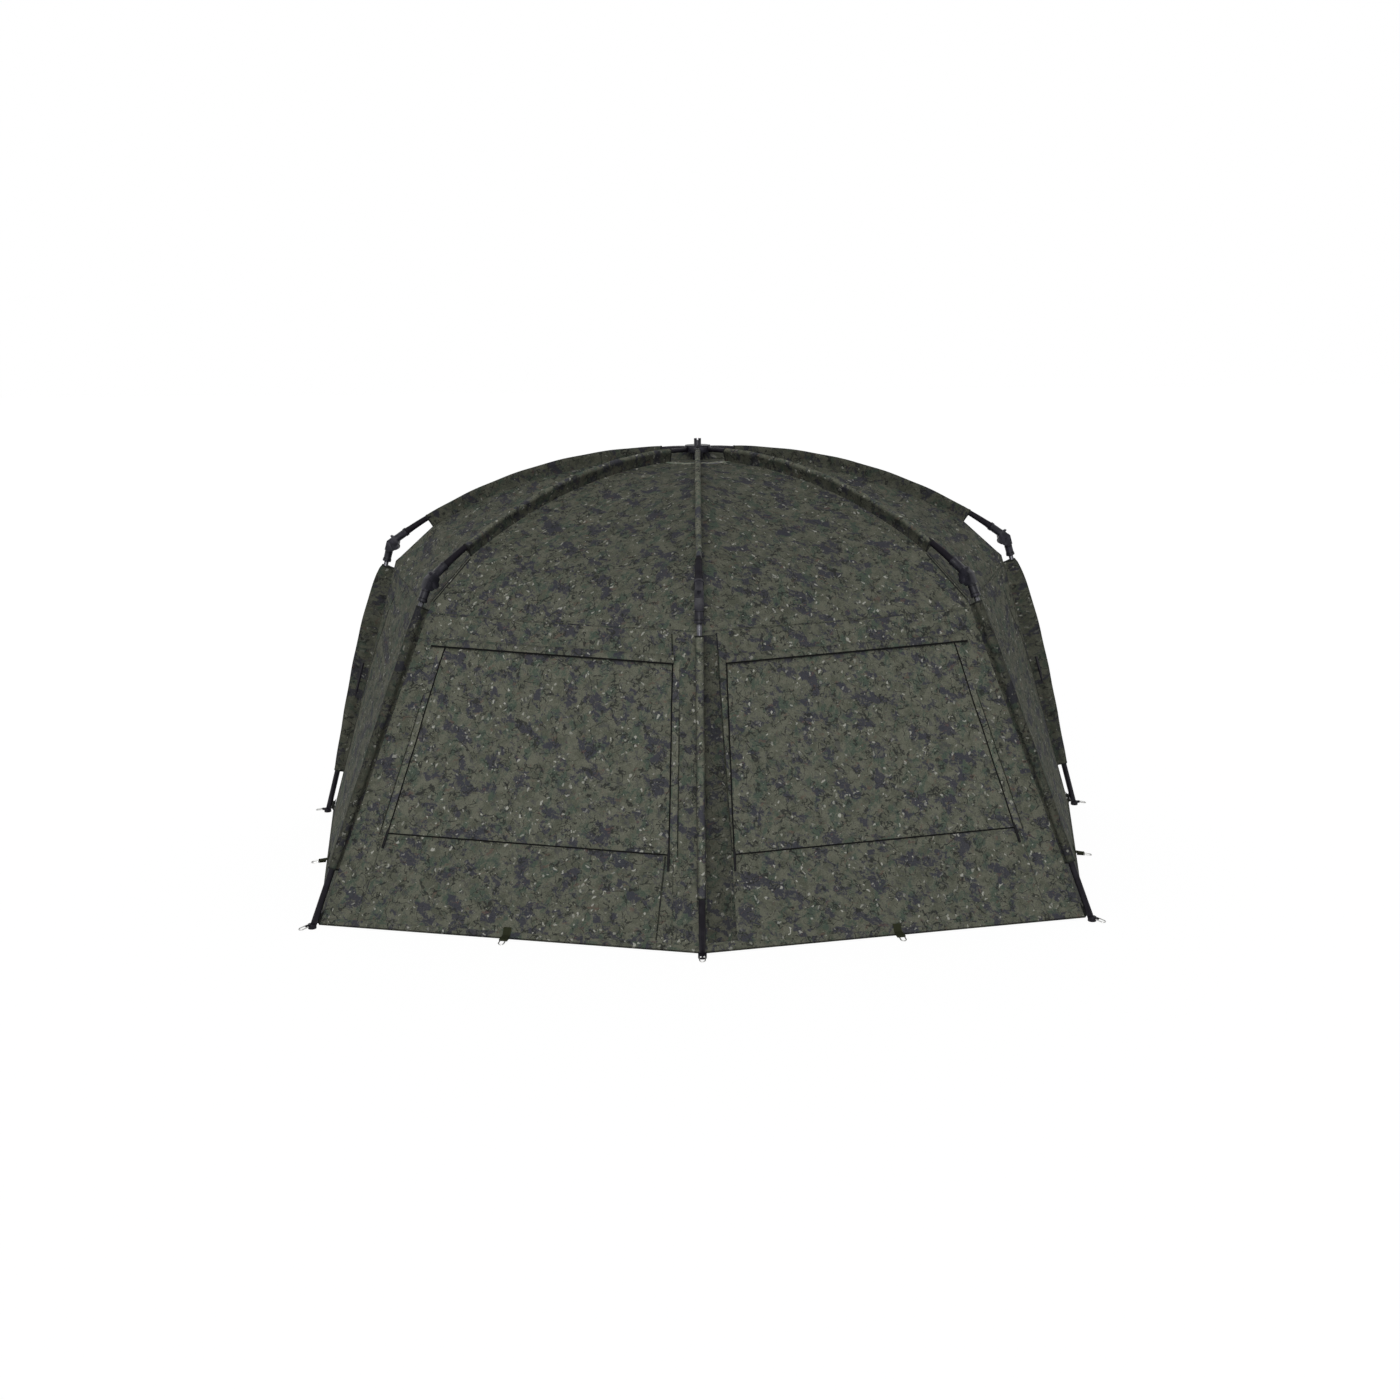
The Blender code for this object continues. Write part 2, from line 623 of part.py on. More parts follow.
def ring_path():
    """The middle line of a peg ring: a straight bar, two arms and a round bow."""
    half = RING_WIDTH / 2 - RING_WIRE_RADIUS
    straight = RING_LENGTH - RING_WIDTH / 2
    points = [Vector((0.0, -half)), Vector((0.0, 0.0)), Vector((0.0, half))]
    for step in range(RING_ARC_STEPS + 1):
        turn = math.pi * (0.5 - step / RING_ARC_STEPS)
        points.append(Vector((straight + half * math.cos(turn), half * math.sin(turn))))
    return points


def make_ring(name, parent):
    """A wire ring that lies outwards from its pivot, its far end a little lower."""
    curve = bpy.data.curves.new(name, "CURVE")
    curve.dimensions = "3D"
    curve.bevel_depth = RING_WIRE_RADIUS
    curve.bevel_resolution = 1
    path = ring_path()
    spline = curve.splines.new("POLY")
    spline.points.add(len(path) - 1)
    for spline_point, point in zip(spline.points, path):
        out = point.x * math.cos(RING_DROP)
        down = point.x * math.sin(RING_DROP)
        spline_point.co = (out, point.y, -down, 1.0)
    spline.use_cyclic_u = True
    curve.materials.append(RING_METAL)
    ring = bpy.data.objects.new(name, curve)
    bpy.context.scene.collection.objects.link(ring)
    ring.parent = parent


def make_rib(rib, centre):
    turn = make_empty(rib.name + "_turn", centre, (0.0, 0.0, 0.0), rib.angle - math.pi / 2)
    hinge = flat(rib.root)
    upper = make_empty(rib.name + "_fold_axis", turn, hinge)
    knuckle = flat(rib.pivot)
    lower = make_empty(rib.name + "_knuckle_axis", turn, knuckle)
    foot = flat(rib.foot)
    leg = make_empty(rib.name + "_leg_axis", turn, foot)
    last = rib.knee + rib.back * (SOCKET_FLOOR + CONTACT_GAP)
    make_upper_pole(rib.name + "_upper_pole", rib.pole, [last], upper, hinge)
    make_knuckle_upper(rib, upper, hinge)
    make_knuckle_lower(rib, lower, knuckle)
    make_lower_pole(rib, lower, knuckle)
    make_leg_tube(rib, leg, foot)
    make_sleeves(rib, upper, hinge, lower, knuckle)
    pivot = (rib.foot.x + RING_PIVOT_OUT, 0.0, RING_PIVOT_HEIGHT)
    make_ring(rib.name + "_peg_ring", make_empty(rib.name + "_ring_axis", turn, pivot))


def make_front_rib(name, line, centre):
    turn = make_empty(name + "_turn", centre, (0.0, 0.0, 0.0), line.angle - math.pi / 2)
    hinge = flat(line.root)
    upper = make_empty(name + "_fold_axis", turn, hinge)
    make_upper_pole(name, line, [], upper, hinge)


# Canopy, drawn round the hub's axis

def out_from_hub(angle, point, across=0.0):
    """A point of a rib's plane, turned to the rib's place round the hub."""
    return Vector((point.x * math.sin(angle) + across * math.cos(angle),
                   -point.x * math.cos(angle) + across * math.sin(angle), point.y))


def edge_columns(angle, line, side):
    """The outer and inner edge of a panel where it meets a rib's plane."""
    outer = []
    inner = []
    for index, (point, normal) in enumerate(zip(line, line_normals(line))):
        if index == 0:
            normal = Vector((0.0, 1.0))
        outer.append(out_from_hub(angle, point, side * SEAM_SIDE_GAP))
        inner.append(out_from_hub(angle, point - normal * CLOTH_THICKNESS, side * SEAM_SIDE_GAP))
    return outer, inner


def stem_point(first_angle, second_angle, share, height):
    """A point of the canopy's middle hole, which fits round the hub's stem."""
    widest = max(FRONT_RIB_ANGLE - SIDE_RIB_ANGLE, math.pi - FRONT_RIB_ANGLE)
    radius = (HUB_STEM_RADIUS + RUNNING_GAP) / math.cos(widest)
    angle = first_angle + (second_angle - first_angle) * share
    return out_from_hub(angle, Vector((radius, height)))


def fill_grid(outer, first, second, shares):
    """Straight rows of points between two edges, without the edges themselves."""
    for share in shares[1:-1]:
        outer.append([start.lerp(end, share) for start, end in zip(first, second)])


def grid_normal(grid, column, row):
    across = grid[min(column + 1, len(grid) - 1)][row] - grid[max(column - 1, 0)][row]
    rows = len(grid[0])
    down = grid[column][min(row + 1, rows - 1)] - grid[column][max(row - 1, 0)]
    normal = across.cross(down).normalized()
    outward = grid[column][row].copy()
    outward.z = (grid[column][row].z - KNEE_HEIGHT) + KNEE_RADIUS / 2
    if normal.dot(outward) < 0:
        normal.negate()
    return normal


def thin_solid(bm, outer, inner):
    """Close the space between two grids of points with the same columns and rows."""
    columns = len(outer)
    rows = len(outer[0])
    verts = [[[bm.verts.new(point) for point in column] for column in grid] for grid in (outer, inner)]
    for grid in verts:
        for column in range(columns - 1):
            for row in range(rows - 1):
                corners = (grid[column][row], grid[column + 1][row],
                           grid[column + 1][row + 1], grid[column][row + 1])
                bm.faces.new(corners)
    for column in (0, columns - 1):
        for row in range(rows - 1):
            bm.faces.new((verts[0][column][row], verts[0][column][row + 1],
                          verts[1][column][row + 1], verts[1][column][row]))
    for row in (0, rows - 1):
        for column in range(columns - 1):
            bm.faces.new((verts[0][column][row], verts[0][column + 1][row],
                          verts[1][column + 1][row], verts[1][column][row]))


def rib_seam(rib, wall_shares):
    """A rib's whole seam: the stem, the roof, and the wall down to the ground."""
    roof = rib.roof()
    stem = Vector((HUB_STEM_RADIUS, roof[0].y))
    return [stem] + roof + [rib.wall(share) for share in wall_shares]


def bay_grids(first, second, across_shares):
    """The outer and inner points of the panel between two ribs, first to second anticlockwise."""
    first_outer, first_inner = edge_columns(first.angle, rib_seam(first, WALL_DOWN_SHARES), 1)
    second_outer, second_inner = edge_columns(second.angle, rib_seam(second, WALL_DOWN_SHARES), -1)
    outer = [first_outer]
    fill_grid(outer, first_outer, second_outer, across_shares)
    outer.append(second_outer)
    side_turn = math.asin(SEAM_SIDE_GAP / HUB_STEM_RADIUS)
    for column, share in zip(outer, across_shares):
        column[0] = stem_point(first.angle + side_turn, second.angle - side_turn, share, column[0].z)
    return outer, inner_grid(outer, first_inner, second_inner)


def inner_grid(outer, first_inner, second_inner):
    """The cloth's inner points: its thickness in from the outer ones."""
    inner = []
    for column, points in enumerate(outer):
        line = []
        for row, point in enumerate(points):
            if row == 0:
                line.append(point - Vector((0.0, 0.0, CLOTH_THICKNESS)))
            elif column == 0:
                line.append(first_inner[row])
            elif column == len(outer) - 1:
                line.append(second_inner[row])
            else:
                line.append(point - grid_normal(outer, column, row) * CLOTH_THICKNESS)
        inner.append(line)
    return inner


def make_bay(name, first, second, across_shares, ring_name, centre):
    """One sewn panel from the hub to the ground, with a webbing tab at the middle of its hem."""
    outer, inner = bay_grids(first, second, across_shares)
    bm = bmesh.new()
    thin_solid(bm, outer, inner)
    origin = Vector((0.0, 0.0, 0.0))
    panel = finish(name, bm, CAMO_CLOTH, centre, origin)
    hem_middle = (outer[0][-1] + outer[-1][-1]) / 2
    wall_middle = (outer[0][-2] + outer[-1][-2]) / 2
    along_hem = outer[-1][-1] - outer[0][-1]
    out = Vector((along_hem.y, -along_hem.x, 0.0)).normalized()
    lean = (hem_middle - wall_middle).dot(out) / (wall_middle.z - hem_middle.z)
    turn = math.atan2(out.y, out.x)
    ground = Vector((hem_middle.x, hem_middle.y, 0.0))
    tab = make_empty(name + "_tab_turn", centre, ground, turn)
    pivot = Vector((TAB_LENGTH, RING_PIVOT_HEIGHT))
    eye = RING_WIRE_RADIUS + CONTACT_GAP + RING_HOLE_WALL
    cloth = Vector((-(TAB_HEIGHT - HEM_HEIGHT) * lean - CLOTH_THICKNESS / 2, TAB_HEIGHT))
    bm = bmesh.new()
    prism(bm, round_end(pivot, eye, Vector((-1.0, 0.0)))
          + [cloth + Vector((-lean, 1.0)) * CLOTH_THICKNESS, cloth], TAB_WIDTH / 2)
    apply_shape(panel, "_tab", bm, tab, origin, "UNION")
    bm = bmesh.new()
    cross_pin(bm, pivot, RING_WIRE_RADIUS + CONTACT_GAP, TAB_WIDTH, POLE_SIDES)
    apply_shape(panel, "_tab_hole", bm, tab, origin, "DIFFERENCE")
    make_ring(ring_name, make_empty(ring_name + "_axis", tab, (TAB_LENGTH, 0.0, RING_PIVOT_HEIGHT)))
    return outer


def make_window(name, outer, centre):
    """The window's cover: a thin sheet that lies on the outside of the wall."""
    first_row = ROOF_ROWS + 2 + WINDOW_WALL_ROWS[0]
    last_row = ROOF_ROWS + 2 + WINDOW_WALL_ROWS[1]
    low = []
    high = []
    for column in range(WINDOW_COLUMNS[0], WINDOW_COLUMNS[1] + 1):
        normals = [grid_normal(outer, column, row) for row in range(first_row, last_row + 1)]
        points = outer[column][first_row:last_row + 1]
        low.append([point + normal * RUNNING_GAP for point, normal in zip(points, normals)])
        thickness = RUNNING_GAP + WINDOW_COVER_THICKNESS
        high.append([point + normal * thickness for point, normal in zip(points, normals)])
    bm = bmesh.new()
    thin_solid(bm, high, low)
    finish(name, bm, WINDOW_CLOTH, centre, Vector((0.0, 0.0, 0.0)))


def make_slider(name, outer, column, centre):
    """A zip slider with its pull, at the bottom of a straight track beside the window."""
    top = outer[column][ROOF_ROWS + 2 + WINDOW_WALL_ROWS[0]]
    bottom = outer[column][ROOF_ROWS + 2 + WINDOW_WALL_ROWS[1]]
    normal = grid_normal(outer, column, ROOF_ROWS + 2 + WINDOW_WALL_ROWS[1])
    up = (top - bottom).normalized()
    across = up.cross(normal).normalized()
    normal = across.cross(up)
    axis = make_empty(name + "_axis", centre, bottom)
    low = SLIDER_CLEARANCE
    high = SLIDER_CLEARANCE + SLIDER_THICKNESS
    half = SLIDER_WIDTH / 2
    pull_half = PULL_WIDTH / 2
    pull_low = low + (SLIDER_THICKNESS - PULL_THICKNESS)
    waist = PULL_WIDTH
    profile = [
        (half, low, high, SLIDER_LENGTH),
        (half, low, high, waist),
        (pull_half, pull_low, high, 0.0),
        (pull_half, pull_low, high, -PULL_LENGTH),
    ]
    bm = bmesh.new()
    rings = []
    for half_across, near, far, height in profile:
        corners = ((-half_across, near), (half_across, near), (half_across, far), (-half_across, far))
        rings.append([bm.verts.new(across * x + normal * y + up * height) for x, y in corners])
    skin(bm, rings)
    finish(name, bm, ZIP_BLACK, axis, Vector((0.0, 0.0, 0.0)))


def make_front(centre):
    """The front panel: from one side rib over both short front ribs to the other side rib."""
    left_rib, right_rib = SIDE_LEFT, SIDE_RIGHT
    wall_shares = WALL_DOWN_SHARES[:1]
    right_outer, right_inner = edge_columns(right_rib.angle, rib_seam(right_rib, wall_shares), 1)
    left_outer, left_inner = edge_columns(left_rib.angle, rib_seam(left_rib, wall_shares), -1)
    tips = []
    for angle in (FRONT_RIB_ANGLE, -FRONT_RIB_ANGLE):
        start = UPPER_SLEEVE_START / FRONT_RIGHT.length
        line = [Vector((HUB_STEM_RADIUS, right_outer[0].z))]
        for row in range(ROOF_ROWS + 2):
            share = start + (1.0 - start) * row / (ROOF_ROWS + 1)
            point = arc_point(FRONT_RIGHT.root, FRONT_TIP, FRONT_POLE_BOW, share)
            line.append(point - Vector((0.0, FRONT_CLOTH_DROP)))
        tips.append([out_from_hub(angle, point) for point in line])
    edges = [right_outer, tips[0], tips[1], left_outer]
    angles = [right_rib.angle, FRONT_RIB_ANGLE, 2 * math.pi - FRONT_RIB_ANGLE,
              2 * math.pi + left_rib.angle]
    outer = []
    for bay in range(3):
        first, second = edges[bay], edges[bay + 1]
        shares = FRONT_ACROSS_SHARES if bay == 0 else FRONT_ACROSS_SHARES[1:]
        for share in shares:
            column = [start.lerp(end, share) for start, end in zip(first, second)]
            hollow = 4 * share * (1.0 - share) * SCALLOP_SHARE
            for row in range(2, len(column)):
                run = (row - 1) / (len(column) - 2)
                column[row] = column[row].lerp(column[1], hollow * run * run)
            column[0] = stem_point(angles[bay], angles[bay + 1], share, column[0].z)
            outer.append(column)
    bm = bmesh.new()
    thin_solid(bm, outer, inner_grid(outer, right_inner, left_inner))
    finish("front_panel", bm, CAMO_CLOTH, centre, Vector((0.0, 0.0, 0.0)))


def make_canopy(centre):
    for name, first, second, mirrored in (("rear_right", REAR_CENTRE, REAR_RIGHT, False),
                                          ("rear_left", REAR_LEFT, REAR_CENTRE, True)):
        shares = list(REAR_ACROSS_SHARES)
        if mirrored:
            shares = [1.0 - share for share in reversed(shares)]
        outer = make_bay(name + "_panel", first, second, shares, name + "_hem_ring", centre)
        make_window(name + "_window_cover", outer, centre)
        suffixes = ["_inner_zip_slider", "_outer_zip_slider"]
        if mirrored:
            suffixes.reverse()
        for column, suffix in zip(TRACK_COLUMNS, suffixes):
            make_slider(name + suffix, outer, column, centre)
    make_bay("side_right_panel", REAR_RIGHT, SIDE_RIGHT, SIDE_ACROSS_SHARES, "side_right_hem_ring", centre)
    make_bay("side_left_panel", SIDE_LEFT, REAR_LEFT, SIDE_ACROSS_SHARES, "side_left_hem_ring", centre)
    make_front(centre)


# The origin lies on the ground in the middle of the tent's length and width.
REAR_REACH = REAR_FOOT_RADIUS + RING_PIVOT_OUT + RING_LENGTH * math.cos(RING_DROP)
FRONT_REACH = -FRONT_TIP_RADIUS * math.cos(FRONT_RIB_ANGLE)
hub_place = make_empty("hub_place", None, (0.0, (REAR_REACH - FRONT_REACH) / 2, 0.0))

make_hub(hub_place)
for each_rib in RIBS:
    make_rib(each_rib, hub_place)
make_front_rib("front_right_rib", FRONT_RIGHT, hub_place)
make_front_rib("front_left_rib", FRONT_LEFT, hub_place)
make_canopy(hub_place)
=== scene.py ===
import math

import bpy
import numpy as np
from mathutils import Matrix, Vector


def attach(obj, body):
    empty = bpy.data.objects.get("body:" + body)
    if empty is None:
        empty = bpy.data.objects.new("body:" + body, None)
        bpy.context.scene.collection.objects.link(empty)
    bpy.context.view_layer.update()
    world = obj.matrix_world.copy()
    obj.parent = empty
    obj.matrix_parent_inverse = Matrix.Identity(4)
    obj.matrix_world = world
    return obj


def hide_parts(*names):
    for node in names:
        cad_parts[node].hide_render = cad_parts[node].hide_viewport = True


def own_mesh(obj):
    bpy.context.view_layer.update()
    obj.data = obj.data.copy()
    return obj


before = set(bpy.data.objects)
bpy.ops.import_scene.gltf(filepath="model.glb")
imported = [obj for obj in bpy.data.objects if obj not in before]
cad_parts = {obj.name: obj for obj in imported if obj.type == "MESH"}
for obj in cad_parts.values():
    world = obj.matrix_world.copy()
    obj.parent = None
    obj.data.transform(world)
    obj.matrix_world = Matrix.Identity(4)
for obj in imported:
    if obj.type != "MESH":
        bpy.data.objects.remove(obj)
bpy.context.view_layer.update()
bpy.ops.object.select_all(action="DESELECT")
print("frame loaded")

# The tent's lines in metres. A rib's plane has two numbers: outwards from the hub's axis, and up.
tent = {
    "hubY": 0.338108,
    "pivot": (0.040, 1.350),
    "knee": (1.110, 1.016),
    "bow": 0.092,
    "straightEnd": 0.080,    # of the upper pole, in the knuckle
    "frontTip": (0.800, 1.215),
    "frontBow": 0.025,
    "stem": 0.0190,          # the cloth's hole round the hub's stem
    "roofStart": 0.085,      # from the hub pivot, along the pole
    "roofEnd": 0.165,        # before the knee
    "wallStart": 0.060,      # below the knee
    "seamGap": 0.0006,       # from a rib's plane to the cloth's edge
    "underPole": 0.036,
    "insideLeg": 0.032,
    "insideFoot": 0.022,
    "hemHeight": 0.004,
    "poleRadius": 0.0081,
    "legRadius": 0.0099,
    "ringOut": 0.018,
    "ringUp": 0.0105,
}
ribTurns = {"rear_centre": 0.0, "rear_right": 48.7, "rear_left": -48.7, "side_right": 96.0, "side_left": -96.0}
ribFeet = {"rear_centre": 1.309, "rear_right": 1.583, "rear_left": 1.583, "side_right": 1.408, "side_left": 1.408}


# Camera, at the photograph's place
lens = {"place": (0.0, -5.4399, 1.846), "down": 13.56, "roll": 0.55, "focal": 42.43, "sensor": 36.0, "reach": 60.0}
bpy.ops.object.camera_add(location=lens["place"])
camera = bpy.context.object
camera.name = "photoCamera"
camera.data.lens = lens["focal"]
camera.data.sensor_width = lens["sensor"]
camera.data.clip_end = lens["reach"]
camera.rotation_mode = "XYZ"
camera.rotation_euler = (math.radians(90.0 - lens["down"]), 0.0, 0.0)
bpy.context.view_layer.update()
camera.matrix_world = camera.matrix_world @ Matrix.Rotation(math.radians(-lens["roll"]), 4, "Z")
bpy.context.scene.camera = camera


# Lines of the ribs

def unit(vector):
    vector = np.asarray(vector, float)
    return vector / np.linalg.norm(vector)


def arcRadius(start, end, bow):
    return (np.linalg.norm(np.subtract(end, start)) ** 2 / 4 + bow ** 2) / (2 * bow)


def arcLength(start, end, bow):
    radius = arcRadius(start, end, bow)
    return 2 * radius * math.asin(np.linalg.norm(np.subtract(end, start)) / 2 / radius)


def arcPoints(start, end, bow, shares):
    # points on a shallow arc that bows upwards, with the way up at each
    start, end = np.array(start, float), np.array(end, float)
    along = unit(end - start)
    up = np.array([-along[1], along[0]])
    radius = arcRadius(start, end, bow)
    centre = (start + end) / 2 - up * (radius - bow)
    turn = math.asin(np.linalg.norm(end - start) / 2 / radius) * (2 * np.asarray(shares, float) - 1)
    ways = np.cos(turn)[:, None] * up + np.sin(turn)[:, None] * along
    return centre + ways * radius, ways


def place(turn, flat, across=0.0):
    # points of a rib's plane as points of the tent
    flat = np.asarray(flat, float)
    across = np.broadcast_to(across, flat.shape[:-1])
    x = flat[..., 0] * math.sin(turn) + across * math.cos(turn)
    y = tent["hubY"] - flat[..., 0] * math.cos(turn) + across * math.sin(turn)
    return np.stack([x, y, flat[..., 1]], axis=-1)


def ribRecord(name):
    rib = {"name": name, "turn": math.radians(ribTurns[name])}
    pivot, knee = np.array(tent["pivot"]), np.array(tent["knee"])
    foot = np.array([ribFeet[name], 0.0])
    rib["knee"], rib["foot"] = knee, foot
    rib["length"] = arcLength(pivot, knee, tent["bow"])
    rib["legLength"] = np.linalg.norm(foot - knee)
    rib["down"] = unit(foot - knee)
    rib["out"] = np.array([-rib["down"][1], rib["down"][0]])
    distances = np.linspace(tent["roofStart"], rib["length"] - tent["roofEnd"], 60)
    points, ways = arcPoints(pivot, knee, tent["bow"], distances / rib["length"])
    roof = points - ways * tent["underPole"]
    rib["wallTop"] = knee + rib["down"] * tent["wallStart"] - rib["out"] * tent["insideLeg"]
    rib["hem"] = foot + np.array([-tent["insideFoot"] / rib["out"][0], tent["hemHeight"]])
    line = np.vstack([[tent["stem"], roof[0][1]], roof, rib["wallTop"]])
    steps = np.linalg.norm(np.diff(line, axis=0), axis=1)
    rib["roofLength"] = steps.sum()
    rib["roofLine"] = line
    rib["roofShares"] = np.concatenate([[0.0], np.cumsum(steps)]) / steps.sum()
    rib["wallLength"] = np.linalg.norm(rib["hem"] - rib["wallTop"])
    last, _ = arcPoints(pivot, knee, tent["bow"], [1.0 - tent["straightEnd"] / rib["length"]])
    rib["back"] = unit(last[0] - knee)
    return rib


ribs = {name: ribRecord(name) for name in ribTurns}


def poleAt(rib, distances):
    # the upper pole's middle line, bowed and then straight into the knuckle
    distances = np.asarray(distances, float)
    points, ways = arcPoints(tent["pivot"], tent["knee"], tent["bow"], distances / rib["length"])
    straight = distances > rib["length"] - tent["straightEnd"]
    points[straight] = rib["knee"] + np.outer(rib["length"] - distances[straight], rib["back"])
    return points, ways


def legAt(rib, distances):
    points = rib["knee"] + np.outer(distances, rib["down"])
    return points, np.tile(rib["out"], (len(points), 1))


# The canopy's surface between two ribs: share is across the bay, run is down from the hub in metres
canopy = {
    "thickness": 0.0012, "columns": 56, "rows": 56,
    "ease": 0.10, "easeWide": 0.20,     # how softly the cloth turns at the knees
    "sagPlaces": (0.0, 0.12, 0.3, 0.5, 0.75, 1.0), "sagShares": (0.0, 0.5, 1.0, 0.5, 0.25, 0.0),
    "wave": 0.0016, "pull": 0.0030, "pullAt": 0.22, "pullWide": 0.16,
    "roofPrint": 0.32,                  # the print's share left out at the hub, none at the knee
}
bays = {
    "rear_right": {"first": "rear_centre", "second": "rear_right", "carrier": "rear_right",
                   "sag": 0.016, "pattern": (0.0, 0.0)},
    "rear_left": {"first": "rear_left", "second": "rear_centre", "carrier": "rear_left",
                  "sag": 0.016, "pattern": (4.3, 1.7)},
    "side_right": {"first": "rear_right", "second": "side_right", "carrier": "side_right",
                   "sag": 0.020, "pattern": (8.9, 5.1), "printWide": 2.0},
    "side_left": {"first": "side_left", "second": "rear_left", "carrier": "side_left",
                  "sag": 0.020, "pattern": (13.1, 9.7), "printWide": 2.0},
}
for bay in bays.values():
    pair = [ribs[bay["first"]], ribs[bay["second"]]]
    bay["roofLength"] = sum(rib["roofLength"] for rib in pair) / 2
    bay["wallLength"] = sum(rib["wallLength"] for rib in pair) / 2
    bay["length"] = bay["roofLength"] + bay["wallLength"]


def roofLineAt(rib, shares):
    return np.stack([np.interp(shares, rib["roofShares"], rib["roofLine"][:, column]) for column in (0, 1)], -1)


def bayEdges(bay, run):
    roof = np.clip(run / bay["roofLength"], 0.0, 1.0)
    wall = np.clip((run - bay["roofLength"]) / bay["wallLength"], 0.0, 1.0)
    edges = []
    for rib, side in ((ribs[bay["first"]], 1), (ribs[bay["second"]], -1)):
        line = roofLineAt(rib, roof) + wall[..., None] * (rib["hem"] - rib["wallTop"])
        edges.append(place(rib["turn"], line, side * tent["seamGap"]))
    return edges


def tautCloth(bay, share, run):
    first, second = bayEdges(bay, run)
    return first + (second - first) * share[..., None]


def clothWay(bay, share, run):
    # the way out of the cloth
    across = tautCloth(bay, share + 0.01, run) - tautCloth(bay, share - 0.01, run)
    down = tautCloth(bay, share, run + 0.02) - tautCloth(bay, share, run - 0.02)
    ways = np.cross(down, across)
    return ways / np.maximum(np.linalg.norm(ways, axis=-1), 1e-9)[..., None]


def bayWidth(bay, run):
    first, second = bayEdges(bay, run)
    return np.linalg.norm(second - first, axis=-1)


def printRun(bay, run):
    # the print's own length down from the hub: on the roof the print lies longer
    roof = np.clip(run, 0.0, bay["roofLength"])
    return run - canopy["roofPrint"] * (roof - roof ** 2 / (2 * bay["roofLength"]))


def creases(bay, share, run):
    # shallow pulls from the knees and a slight unevenness, in metres
    width = bayWidth(bay, run)
    below = run - bay["roofLength"]
    shift = bay["pattern"][0]
    total = canopy["wave"] * np.sin(17.0 * share * width + 9.0 * run + shift)
    total = total * np.sin(23.0 * run - 7.0 * share * width)
    for corner in (share * width, (1.0 - share) * width):
        reach = np.hypot(corner, below) + 0.02
        angle = np.arctan2(below, corner)
        near = np.exp(-((reach - canopy["pullAt"]) / canopy["pullWide"]) ** 2)
        total = total + canopy["pull"] * np.sin(8.0 * angle + shift) * near
    inside = np.clip(np.sin(np.pi * np.clip(share, 0, 1)) * 3.0, 0.0, 1.0) * np.clip(run / 0.2, 0, 1)
    return total * inside * np.clip((bay["length"] - run) / 0.08, 0.0, 1.0)


def bayCloth(bay, share, run, lift=0.0):
    share, run = np.broadcast_arrays(np.asarray(share, float), np.asarray(run, float))
    hump = np.sin(np.pi * np.clip(share, 0.0, 1.0))
    ease = canopy["ease"] * hump * np.exp(-((run - bay["roofLength"]) / canopy["easeWide"]) ** 2)
    points = (tautCloth(bay, share, run - ease) + 2 * tautCloth(bay, share, run)
              + tautCloth(bay, share, run + ease)) / 4
    sag = np.interp(run / bay["length"], canopy["sagPlaces"], canopy["sagShares"])
    shift = lift - bay["sag"] * sag * hump + creases(bay, share, run)
    return points + clothWay(bay, share, run) * np.asarray(shift)[..., None]


def clothSpot(bay, share, run, lift=0.0):
    return bayCloth(bay, np.array([share]), np.array([run]), lift)[0]


# Making pieces

def choose(piece):
    bpy.ops.object.select_all(action="DESELECT")
    piece.select_set(True)
    bpy.context.view_layer.objects.active = piece


def applyModifier(piece, kind, **settings):
    choose(piece)
    modifier = piece.modifiers.new(kind.lower(), kind)
    for key, value in settings.items():
        setattr(modifier, key, value)
    bpy.ops.object.modifier_apply(modifier=modifier.name)


def editMesh(piece, operator, **settings):
    # one edit-mode operator on the whole mesh
    choose(piece)
    bpy.ops.object.mode_set(mode="EDIT")
    bpy.ops.mesh.select_all(action="SELECT")
    operator(**settings)
    bpy.ops.object.mode_set(mode="OBJECT")


def smooth(piece, angle=38.0):
    choose(piece)
    bpy.ops.object.shade_smooth_by_angle(angle=math.radians(angle))


def rename(piece, name):
    piece.name = name
    piece.data.name = name
    return piece


def joinPieces(name, pieces):
    choose(pieces[0])
    for piece in pieces:
        piece.select_set(True)
    bpy.ops.object.join()
    return rename(bpy.context.object, name)


def clothGrid(name, columns, rows, shape, thickness):
    # a grid whose points are laid by shape(across, along), then given its thickness inwards
    bpy.ops.mesh.primitive_grid_add(x_subdivisions=columns, y_subdivisions=rows, size=1.0)
    piece = rename(bpy.context.object, name)
    mesh = piece.data
    spots = np.empty(len(mesh.vertices) * 3)
    mesh.vertices.foreach_get("co", spots)
    spots = spots.reshape(-1, 3) + 0.5
    points, threads = shape(spots[:, 0], spots[:, 1])
    mesh.vertices.foreach_set("co", points.ravel())
    corners = np.empty(len(mesh.loops), int)
    mesh.loops.foreach_get("vertex_index", corners)
    mesh.uv_layers.active.data.foreach_set("uv", threads[corners].ravel())
    mesh.update()
    piece["flatArea"] = sum(face.area for face in mesh.polygons)
    applyModifier(piece, "SOLIDIFY", thickness=thickness, offset=-1.0)
    smooth(piece, 50.0)
    return piece


